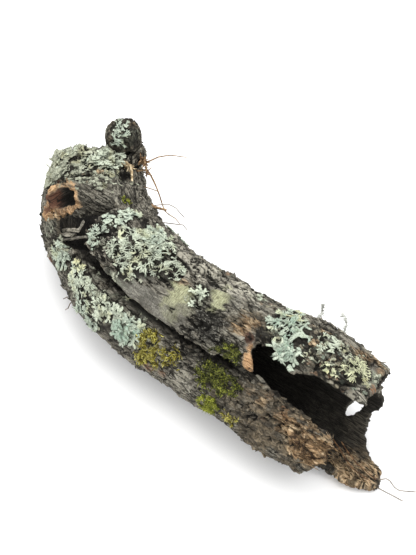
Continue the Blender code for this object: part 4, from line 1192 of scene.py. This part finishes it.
def scattered(node, count, chance):
    """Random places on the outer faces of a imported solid, evenly by area, and the area of those faces."""
    mesh = node.data
    corners = np.array([[mesh.vertices[i].co[:] for i in face.vertices[:3]] for face in mesh.polygons])
    cross = np.cross(corners[:, 1] - corners[:, 0], corners[:, 2] - corners[:, 0])
    area = np.linalg.norm(cross, axis=1)
    middle = corners.mean(1)
    away = np.array([(Vector(m) - skin_tree.find_nearest(m)[0]).length for m in middle])
    area = area * (away > 0.9 * MM)
    chosen = picked(chance, area, count)
    a = np.sqrt(chance.random(count))[:, None]
    b = chance.random(count)[:, None]
    c = corners[chosen]
    return (1 - a) * c[:, 0] + a * (1 - b) * c[:, 1] + a * b * c[:, 2], area.sum() / 2


def ground_at(points):
    """The nearest place on the bark to each point, and the bark's way outwards there."""
    found = [skin_tree.find_nearest(p) for p in points]
    places = np.array([f[0] for f in found])
    return places, unit(np.array([f[1] for f in found]) + 1.2 * grain_of(places)[1])


def ribbons(points, grain, size):
    """Where a network of ribbons runs, above 0, with rounded gaps between them."""
    bent = grain + 0.35 * size * swirl(points, 0.9 * size, 51)
    first = 0.17 - np.abs(noise(bent, size * np.array((1.3, 0.9, 0.9)), 54))
    second = 0.14 - np.abs(noise(bent, size * np.array((0.8, 1.0, 1.0)), 55))
    return np.maximum(first, second) * 3, noise(points, 2.5 * MM, 56)


def leaves(points, _, size):
    """Where flat lobes lie side by side, above 0, each at its own height."""
    bent = points + 0.3 * size * swirl(points, 0.5 * size, 57)
    edge, level = cells(bent, size, 60)
    return np.where(level > -0.35, edge - 0.12, -1.0), level


def keep_growth(mesh, along, chance):
    """Stores what the material of lichens and mosses reads: how far out a corner is, and a random value."""
    keep_values(mesh, "growth", np.column_stack([along, chance, 0 * along]))


def lichen_sheet(name, solid, pattern, size, look, height):
    """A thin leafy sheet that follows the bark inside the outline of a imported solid, with turned-up edges."""
    corners, _ = mesh_arrays(solid.data)
    pad = tree_of(solid.data)
    low, high = corners.min(0) - SHEET_REACH, corners.max(0) + SHEET_REACH
    near = np.all((skin_points > low) & (skin_points < high), axis=1) & (facing > 0)
    for i in np.nonzero(near)[0]:
        near[i] = pad.find_nearest(skin_points[i])[3] < SHEET_REACH
    chosen = skin_triangles[near[skin_triangles].all(1)]
    used, index = np.unique(chosen, return_inverse=True)
    base = bpy.data.meshes.new(name)
    base.from_pydata(skin_points[used].tolist(), [], index.reshape(-1, 3).tolist())
    bm = bmesh.new()
    bm.from_mesh(base)
    for _ in range(5):
        softened(bm, bm.verts, 0.5)
    bmesh.ops.subdivide_edges(bm, edges=bm.edges[:], cuts=2, use_grid_fill=True)
    bm.normal_update()
    bm.verts.index_update()
    points = np.array([vert.co for vert in bm.verts])
    normals = np.array([vert.normal for vert in bm.verts])
    grain = grain_of(points)[0]
    value, level = pattern(points, grain, size)
    away = np.array([pad.find_nearest(p)[3] for p in points])
    value = value - 1.5 * mark_shares(points, grain, ("dark",))["dark"]
    value = value - smooth(away + 1.2 * MM * noise(points, 3 * MM, 61), 0.8 * MM, 3.0 * MM) * 0.9
    centre = smooth(value, 0.0, 0.35)
    rise = 0.35 + height * (0.5 + 0.5 * level) + 0.45 * (1 - centre) + 0.35 * noise(points, 1.6 * MM, 62)
    for vert, normal, up in zip(bm.verts, normals, rise * MM):
        vert.co += Vector(normal) * up
    gone = [face for face in bm.faces if np.mean([value[vert.index] for vert in face.verts]) < 0]
    bmesh.ops.delete(bm, geom=gone, context="FACES")
    for _ in range(2):
        softened(bm, [vert for vert in bm.verts if vert.is_boundary], 0.4)
    bm.to_mesh(base)
    bm.free()
    sheet = new_object(name, base)
    thicken = sheet.modifiers.new("thicken", "SOLIDIFY")
    thicken.thickness = SHEET_THICKNESS
    thicken.offset = 1
    mesh = finished(sheet)
    sheet.modifiers.clear()
    points = mesh_arrays(mesh)[0]
    tone = 0.62 + 0.3 * noise(points, 4 * MM, 63)
    keep_growth(mesh, tone, 0.5 + 0.5 * noise(points, 9 * MM, 64))
    mesh.shade_smooth()
    wear(mesh, lichen_looks[look])
    sheet.data = mesh
    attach(sheet, "root")
    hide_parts(solid.name)


leafy_shapes = [lobe_shape(seed, 2, 0.16, 0.36, 1) for seed in range(6)]
ribbon_shapes = [lobe_shape(seed + 20, 2, 0.085, 0.5, 1) for seed in range(6)]
scale_shapes = [scale_shape(seed) for seed in range(5)]
broad_shapes = [lobe_shape(seed + 40, 1, 0.20, 0.5) for seed in range(5)]
crust_shapes = scale_shapes + broad_shapes + leafy_shapes[:3]
MINT = (0.33, 0.39, 0.315)
LICHEN_WARM = (1.0, 0.92, 0.72)
LICHEN_SHADE = (0.040, 0.044, 0.034)


def fine_noise(tree, size, detail):
    """Noise in the piece's own space, with lumps of the given size in millimetres."""
    place = add_node(tree, "TexCoord").outputs["Object"]
    sockets = {"Vector": place, "Scale": 1 / (size * MM), "Detail": detail}
    return add_node(tree, "TexNoise", sockets).outputs["Fac"]


def lichen_material(name, body, tip, share_of_tips):
    """Lichen: dark at the root of each lobe, pale and dusty at its tip, with a fine grain."""
    made, tree, shader = new_material(name, 0.95)
    along, chance, _ = stored(tree, "growth")
    grit = fine_noise(tree, 0.9, 3.0)
    colour = laid(tree, LICHEN_SHADE, body, along, 0.0, 0.42)
    colour = laid(tree, colour, tip, along, 0.25, 1.0, 0.0, share_of_tips)
    colour = laid(tree, colour, tip, fine_noise(tree, 7, 2.0), 0.40, 0.62, 0.0, 0.5)
    colour = laid(tree, colour, body, chance, 0.0, 1.0, 0.0, 0.5)
    warm = ranged(tree, fine_noise(tree, 11, 3.0), 0.50, 0.68, 0.0, 0.7)
    colour = blended(tree, warm, colour, LICHEN_WARM, "MULTIPLY")
    colour = laid(tree, colour, LICHEN_SHADE, grit, 0.36, 0.52, 0.55, 0.0)
    tree.links.new(colour, shader.inputs["Base Color"])
    tree.links.new(bumped(tree, grit, 0.3, 0.7), shader.inputs["Normal"])
    return made


# Each look: the colour of its lobes, the colour of their tips and how much of it shows.
LICHEN_COLOURS = {
    "mint": (MINT, (0.56, 0.62, 0.50), 0.8),
    "white": ((0.42, 0.465, 0.365), (0.62, 0.67, 0.53), 0.9),
    "teal": ((0.31, 0.42, 0.325), MINT, 0.8),
    "cream": ((0.46, 0.48, 0.30), (0.72, 0.73, 0.50), 0.8),
    "grey": ((0.25, 0.26, 0.195), (0.50, 0.52, 0.40), 0.8),
}
lichen_looks = {name: lichen_material("lichen_" + name, *row) for name, row in LICHEN_COLOURS.items()}

# Each patch: the pattern of its sheet, the size of the pattern, how far its lobes differ in height, its
# look, then the shapes of the lobes on top, their length, how many times they cover it and how far they lean.
PATCHES = {
    "lichen_stub": (None, 0, 0, "mint", leafy_shapes, 4.2 * MM, 0.45, 0.05),
    "lichen_far_end": (leaves, 4.4 * MM, 2.2, "grey", crust_shapes, 4.6 * MM, 0.9, 0.35),
    "lichen_flap_tip": (leaves, 5.0 * MM, 0.5, "mint", broad_shapes, 6.0 * MM, 0.5, 0.10),
    "lichen_flap_edge": (leaves, 4.0 * MM, 0.5, "mint", leafy_shapes, 4.5 * MM, 0.5, 0.05),
    "lichen_network": (ribbons, 4.6 * MM, 0.5, "white", ribbon_shapes, 5.5 * MM, 0.45, 0.05),
    "lichen_leaf": (leaves, 5.5 * MM, 0.6, "white", broad_shapes, 4.4 * MM, 0.25, 0.04),
    "lichen_roof": (ribbons, 6.0 * MM, 0.8, "mint", leafy_shapes, 5.0 * MM, 0.32, 0.15),
    "lichen_dropping": (leaves, 5.0 * MM, 1.2, "mint", broad_shapes, 6.5 * MM, 0.55, 0.15),
    "lichen_roof_side": (leaves, 3.6 * MM, 0.8, "white", leafy_shapes, 4.5 * MM, 0.6, 0.10),
    "lichen_coral": (None, 0, 0, "cream", ribbon_shapes, 5.0 * MM, 0.8, 0.25),
    "lichen_lower_top": (leaves, 4.0 * MM, 0.8, "mint", leafy_shapes, 4.5 * MM, 0.7, 0.10),
    "lichen_lower_cream": (leaves, 4.0 * MM, 0.8, "white", leafy_shapes, 4.5 * MM, 0.6, 0.08),
    "lichen_lower_small": (leaves, 3.6 * MM, 0.8, "mint", leafy_shapes, 4.0 * MM, 0.6, 0.08),
    "lichen_lower_broad": (leaves, 5.0 * MM, 0.8, "white", broad_shapes, 5.5 * MM, 0.6, 0.08),
    "lichen_lower_mint": (leaves, 6.0 * MM, 0.8, "mint", broad_shapes, 7.0 * MM, 0.7, 0.10),
    "lichen_lower_ring": (leaves, 3.6 * MM, 0.6, "mint", leafy_shapes, 4.0 * MM, 0.6, 0.08),
    "lichen_back_upper": (leaves, 4.5 * MM, 0.8, "mint", leafy_shapes, 5.0 * MM, 0.6, 0.08),
    "lichen_back_lower": (ribbons, 6.0 * MM, 0.5, "teal", leafy_shapes, 5.0 * MM, 0.4, 0.08),
}
LOBE_COVER = 0.36               # the area of a lobe, of the square of its length
LOBE_SPREAD = 1.0               # how far a lobe's way strays from straight out of its patch
LAYER_HEIGHT = 1.2 * MM

for number, (name, row) in enumerate(PATCHES.items()):
    pattern, size, uneven, look, shapes, length, cover, lean = row
    chance = np.random.default_rng(100 + number)
    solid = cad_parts[name]
    if pattern:
        lichen_sheet(name + "_sheet", solid, pattern, size, look, uneven)
    _, area = scattered(solid, 1, chance)
    count = int(cover * area / (LOBE_COVER * length ** 2))
    spots, _ = scattered(solid, count, chance)
    bases, outs = ground_at(spots)
    open_bark = mark_shares(bases, grain_of(bases)[0], ("dark",))["dark"] < 0.45
    bases, outs, count = bases[open_bark], outs[open_bark], open_bark.sum()
    middle = bases.mean(0)
    ways = (bases - middle) / np.linalg.norm(bases - middle, axis=1).max()
    ways = flattened(ways + LOBE_SPREAD * chance.normal(size=(count, 3)) * 0.5, outs)
    sizes = length * chance.uniform(0.6, 1.15, count)
    bases = bases - ways * sizes[:, None] * 0.65
    which = chance.integers(len(shapes), size=count)
    lift = chance.uniform(0.2, 1.0, count) * LAYER_HEIGHT
    tilt = chance.uniform(0.3, 1.4, count) * lean
    ways = ways + outs * tilt[:, None]
    mesh, along, owner = grown(name + "_lobes", shapes, which, bases, ways, outs, sizes, lift)
    keep_growth(mesh, along, chance.random(count)[owner])
    lobes = new_object(name + "_lobes", mesh, lichen_looks[look])
    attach(lobes, "root")
    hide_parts(name)

# Lobes of another colour in some patches: the pixel, the reach in pixels, the look, the shapes, how long
# they are and how many.
ACCENTS = [
    (108, 161, 11, "white", broad_shapes, 5.4 * MM, 40),
    (94, 162, 8, "white", broad_shapes, 4.5 * MM, 12),
    (154, 237, 10, "mint", leafy_shapes, 4.6 * MM, 34),
    (165, 245, 7, "mint", leafy_shapes, 4.0 * MM, 14),
    (80, 266, 5, "cream", broad_shapes, 4.0 * MM, 12),
    (297, 318, 5, "cream", leafy_shapes, 4.0 * MM, 9),
    (283, 352, 9, "teal", leafy_shapes, 4.6 * MM, 18),
    (128, 332, 12, "teal", broad_shapes, 6.0 * MM, 14),
    (287, 328, 10, "teal", leafy_shapes, 4.5 * MM, 13),
    (63, 252, 8, "mint", broad_shapes, 4.5 * MM, 14),
    (262, 300, 4, "white", leafy_shapes, 3.0 * MM, 8),
    (121, 127, 6, "mint", leafy_shapes, 3.6 * MM, 12),
    (326, 368, 5, "cream", scale_shapes, 2.6 * MM, 9),
    (334, 374, 4, "cream", broad_shapes, 2.8 * MM, 8),
    (358, 371, 8, "cream", ribbon_shapes, 5.0 * MM, 12),
    (100, 184, 7, "grey", scale_shapes, 3.0 * MM, 16),
    (70, 152, 8, "white", crust_shapes, 4.0 * MM, 12),
    (60, 168, 7, "white", crust_shapes, 3.6 * MM, 10),
]

for number, (u, v, reach, look, shapes, length, count) in enumerate(ACCENTS):
    chance = np.random.default_rng(200 + number)
    turn = chance.uniform(0, 2 * math.pi, count)
    off = reach * np.sqrt(chance.random(count))
    spots = [seen(u + r * math.cos(a), v + r * math.sin(a))[0] for a, r in zip(turn, off)]
    spots = np.array([spot for spot in spots if spot])
    centre = spots.mean(0)
    spots = spots[np.linalg.norm(spots - centre, axis=1) < 3 * reach * MM]
    count = len(spots)
    bases, outs = ground_at(spots)
    ways = flattened((bases - centre) / (reach * MM) + 0.5 * chance.normal(size=(count, 3)), outs)
    sizes = length * chance.uniform(0.6, 1.15, count)
    which = chance.integers(len(shapes), size=count)
    bases = bases - ways * sizes[:, None] * 0.45
    lift = chance.uniform(0.9, 2.0, count) * MM * (1.7 if reach > 10 else 1)
    mesh, along, owner = grown("lichen_accent", shapes, which, bases, ways + 0.15 * outs, outs, sizes, lift)
    keep_growth(mesh, along, chance.random(count)[owner])
    lobes = new_object(f"lichen_accent_{number}", mesh, lichen_looks[look])
    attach(lobes, "root")


# The flecks of lichen
# Small young lobes and scales of lichen dot the grey crusts of the bark between the large patches.
FLECK_COUNT = 900

chance = np.random.default_rng(80)
weights = stains["crust"] ** 1.5 * (facing > 0.3) * (1 - covered) * (skin_points[:, 2] > 3 * MM)
weights *= 0.15 + smooth(noise(skin_points, 6 * MM, 81), 0.0, 0.3)
chosen = picked(chance, weights, FLECK_COUNT)
bases, outs = ground_at(skin_points[chosen])
ways = flattened(chance.normal(size=(FLECK_COUNT, 3)), outs)
sizes = chance.uniform(1.2, 3.4, FLECK_COUNT) * MM
fleck_shapes = broad_shapes + scale_shapes
which = chance.integers(len(fleck_shapes), size=FLECK_COUNT)
mesh, along, owner = grown("lichen_flecks", fleck_shapes, which, bases, ways + 0.12 * outs, outs, sizes,
                           chance.uniform(0.1, 0.5, FLECK_COUNT) * MM)
keep_growth(mesh, 0.3 + 0.7 * along, chance.random(FLECK_COUNT)[owner])
flecks = new_object("lichen_flecks", mesh, lichen_looks["grey"])
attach(flecks, "root")


# The mosses
# Cushions and tufts of fine shoots, yellow-green at their tips and dark at their feet.
shoot_shapes = [tapered_shape(seed, 3, 0.10, 0.25 + 0.15 * seed, ((0.35, 1.0), (0.7, 0.8), (1.0, 0.15)))
                for seed in range(4)]


def moss_material(name, foot, body, tip):
    """Moss: dark at the feet of its shoots and bright at their tips."""
    made, tree, shader = new_material(name, 0.9)
    along, chance, _ = stored(tree, "growth")
    colour = laid(tree, foot, body, along, 0.10, 0.55)
    colour = laid(tree, colour, tip, along, 0.45, 1.0)
    colour = laid(tree, colour, foot, chance, 0.45, 1.0, 0.0, 0.85)
    colour = laid(tree, colour, foot, fine_noise(tree, 3, 2.0), 0.40, 0.60, 0.6, 0.0)
    tree.links.new(colour, shader.inputs["Base Color"])
    return made


# Each look: the colours of a shoot's foot, its body and its tip.
MOSS_COLOURS = {
    "yellow": ((0.06, 0.045, 0.010), (0.42, 0.37, 0.045), (0.86, 0.80, 0.26)),
    "bright": ((0.040, 0.048, 0.008), (0.28, 0.32, 0.03), (0.60, 0.63, 0.12)),
    "green": ((0.008, 0.010, 0.005), (0.045, 0.052, 0.016), (0.30, 0.32, 0.09)),
}
moss_looks = {name: moss_material("moss_" + name, *row) for name, row in MOSS_COLOURS.items()}

# Each cushion: its look, the length of its shoots, how dense it is, how far the shoots lean, and how far
# they stray over its outline.
CUSHIONS = {
    "moss_yellow": ("yellow", 4.6 * MM, 4.0, 2.2, 1.8 * MM),
    "moss_low": ("yellow", 4.6 * MM, 4.0, 2.4, 2.0 * MM),
    "moss_strands": ("yellow", 4.6 * MM, 2.2, 2.6, 3.0 * MM),
    "moss_bank": ("green", 3.6 * MM, 3.4, 1.2, 1.8 * MM),
    "moss_edge": ("green", 3.4 * MM, 3.4, 1.2, 1.4 * MM),
    "moss_tuft": ("bright", 3.8 * MM, 4.4, 1.3, 1.0 * MM),
    "moss_end": ("yellow", 4.0 * MM, 2.0, 2.4, 1.6 * MM),
    "moss_spot": ("bright", 1.8 * MM, 1.8, 1.0, 0.6 * MM),
}
STRANDS = {"moss_strands": 9, "moss_end": 5}     # how many creeping strands the thin ones grow on
SHOOT_COVER = 0.075             # the area that a shoot covers, of the square of its length
BRIGHT_SHARE = 0.22             # of the shoots of the dark green mosses are bright

for number, (name, (look, length, cover, lean, stray)) in enumerate(CUSHIONS.items()):
    chance = np.random.default_rng(300 + number)
    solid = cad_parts[name]
    _, area = scattered(solid, 1, chance)
    count = int(cover * area / (SHOOT_COVER * length ** 2))
    spots, _ = scattered(solid, count, chance)
    spots = spots + stray * chance.normal(size=(count, 3)) * 0.7
    if name in STRANDS:
        ends = spots[chance.integers(count, size=(2, STRANDS[name]))]
        starts, steps = ends[0], (ends[1] - ends[0]) * 1.5
        part = ((spots[:, None] - starts) * steps).sum(2) / np.maximum((steps ** 2).sum(1), 1e-9)
        on_line = starts + np.clip(part, -0.3, 1)[..., None] * steps
        closest = np.argmin(np.linalg.norm(spots[:, None] - on_line, axis=2), axis=1)
        spots = on_line[np.arange(count), closest] + 0.15 * (spots - on_line[np.arange(count), closest])
    bases, outs = ground_at(spots)
    clump = noise(bases, 3.2 * MM, 82)
    keep = clump > -0.35
    bases, outs, clump = bases[keep], outs[keep], clump[keep]
    count = len(bases)
    lay = swirl(bases, 4 * MM, 83)
    ups = outs + lean * (0.9 * lay + 0.35 * chance.normal(size=(count, 3)))
    low = (ups * outs).sum(1)
    ups = unit(ups + outs * np.maximum(0.15 - low, 0)[:, None])
    ways = flattened(chance.normal(size=(count, 3)), ups)
    sizes = length * chance.uniform(0.45, 1.1, count) * (0.75 + 0.35 * clump)
    which = chance.integers(len(shoot_shapes), size=count)
    mesh, _, owner = grown(name + "_shoots", shoot_shapes, which, bases, ways, ups, sizes,
                           np.zeros(count), False)
    along = np.concatenate([shoot_shapes[kind][0][:, 2] for kind in which])
    keep_growth(mesh, along, chance.random(count)[owner])
    shoots = new_object(name + "_shoots", mesh, moss_looks[look])
    if look == "green":
        mesh.materials.append(moss_looks["bright"])
        bright = (chance.random(count) < BRIGHT_SHARE * (1 + 2 * lay[:, 0]))[owner]
        first = np.empty(len(mesh.polygons), np.int32)
        mesh.polygons.foreach_get("loop_start", first)
        corner = np.empty(len(mesh.loops), np.int32)
        mesh.loops.foreach_get("vertex_index", corner)
        mesh.polygons.foreach_set("material_index", bright[corner[first]].astype(np.int32))
    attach(shoots, "root")
    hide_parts(name)


# The roots and hairs
# Thin dry roots hang at the far end and lie on the tongue, with fine hairs, and two pale beards of
# lichen stand on the top edge. Each is a thin, slightly wavy stem.

# Each look: its dark and its light colour, and how many millimetres it is thicker than its solid.
ROOT_LOOKS = {
    "root": ((0.13, 0.072, 0.036), (0.38, 0.255, 0.140), 0.0),
    "slit": ((0.34, 0.25, 0.14), (0.70, 0.58, 0.38), 0.0),
    "rootlet": ((0.09, 0.045, 0.022), (0.30, 0.165, 0.080), -0.4),
    "hair": ((0.11, 0.085, 0.065), (0.24, 0.20, 0.16), 0.3),
    "beard": ((0.40, 0.41, 0.37), (0.74, 0.75, 0.70), -0.2),
}


def root_material(name, dark, light):
    """A dry root: fibrous, with darker skin left on it in patches."""
    made, tree, shader = new_material(name, 0.8)
    skin = fine_noise(tree, 2.5, 3.0)
    tree.links.new(laid(tree, dark, light, skin, 0.40, 0.62), shader.inputs["Base Color"])
    tree.links.new(bumped(tree, skin, 0.2, 0.6), shader.inputs["Normal"])
    return made


TWIG_CLEAR = 1.2 * MM           # how far from the bark the side twigs start
TWIGS = {"beard_far": 90, "beard_near": 90, "root_tuft": 70, "root_slit": 24}
TWIG_ROWS = ((0.4, 0.9), (0.8, 0.9), (1.0, 0.4))
twig_shapes = [tapered_shape(seed + 90, 4, 0.14, 0.3 + 0.2 * seed, TWIG_ROWS) for seed in range(3)]
root_looks = {name: root_material("dry_" + name, row[0], row[1]) for name, row in ROOT_LOOKS.items()}
for name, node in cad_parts.items():
    kind = name.split("_")[0]
    look = "slit" if name == "root_slit" else kind
    if kind not in ROOT_LOOKS:
        continue
    bm = bmesh.new()
    bm.from_mesh(node.data)
    bmesh.ops.remove_doubles(bm, verts=bm.verts, dist=0.001 * MM)
    bmesh.ops.subdivide_edges(bm, edges=bm.edges[:], cuts=1, smooth=0.0, use_grid_fill=True)
    softened(bm, bm.verts, 0.3)
    bm.normal_update()
    points = np.array([vert.co for vert in bm.verts])
    wave = swirl(points, 5 * MM, 91) * 0.5 * MM
    thicker = ROOT_LOOKS[kind][2] * 0.5 * MM
    for vert, move in zip(bm.verts, wave):
        vert.co += Vector(move) * (0.6 if kind == "root" else 0.3) + vert.normal * thicker
    mesh = bpy.data.meshes.new(name + "_stem")
    bm.to_mesh(mesh)
    bm.free()
    mesh.shade_smooth()
    stem = new_object(name + "_stem", mesh, root_looks[look])
    count = TWIGS.get(name, 0)
    if count:
        chance = np.random.default_rng(len(name))
        clear = np.nonzero([skin_tree.find_nearest(p)[3] > TWIG_CLEAR for p in points])[0]
        chosen = chance.choice(clear, size=count)
        ups = unit(chance.normal(size=(count, 3)) + (0, 0, 0.6 if kind == "beard" else -0.6))
        which = chance.integers(len(twig_shapes), size=count)
        ways = flattened(chance.normal(size=(count, 3)), ups)
        sizes = chance.uniform(1.0, 2.4 if kind == "beard" else 5.0, count) * MM
        twig_mesh, _, _ = grown(name + "_twigs", twig_shapes, which, points[chosen], ways, ups, sizes,
                                np.zeros(count), False)
        twigs = new_object(name + "_twigs", twig_mesh, root_looks[look])
        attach(twigs, "root")
    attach(stem, "root")
    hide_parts(name)
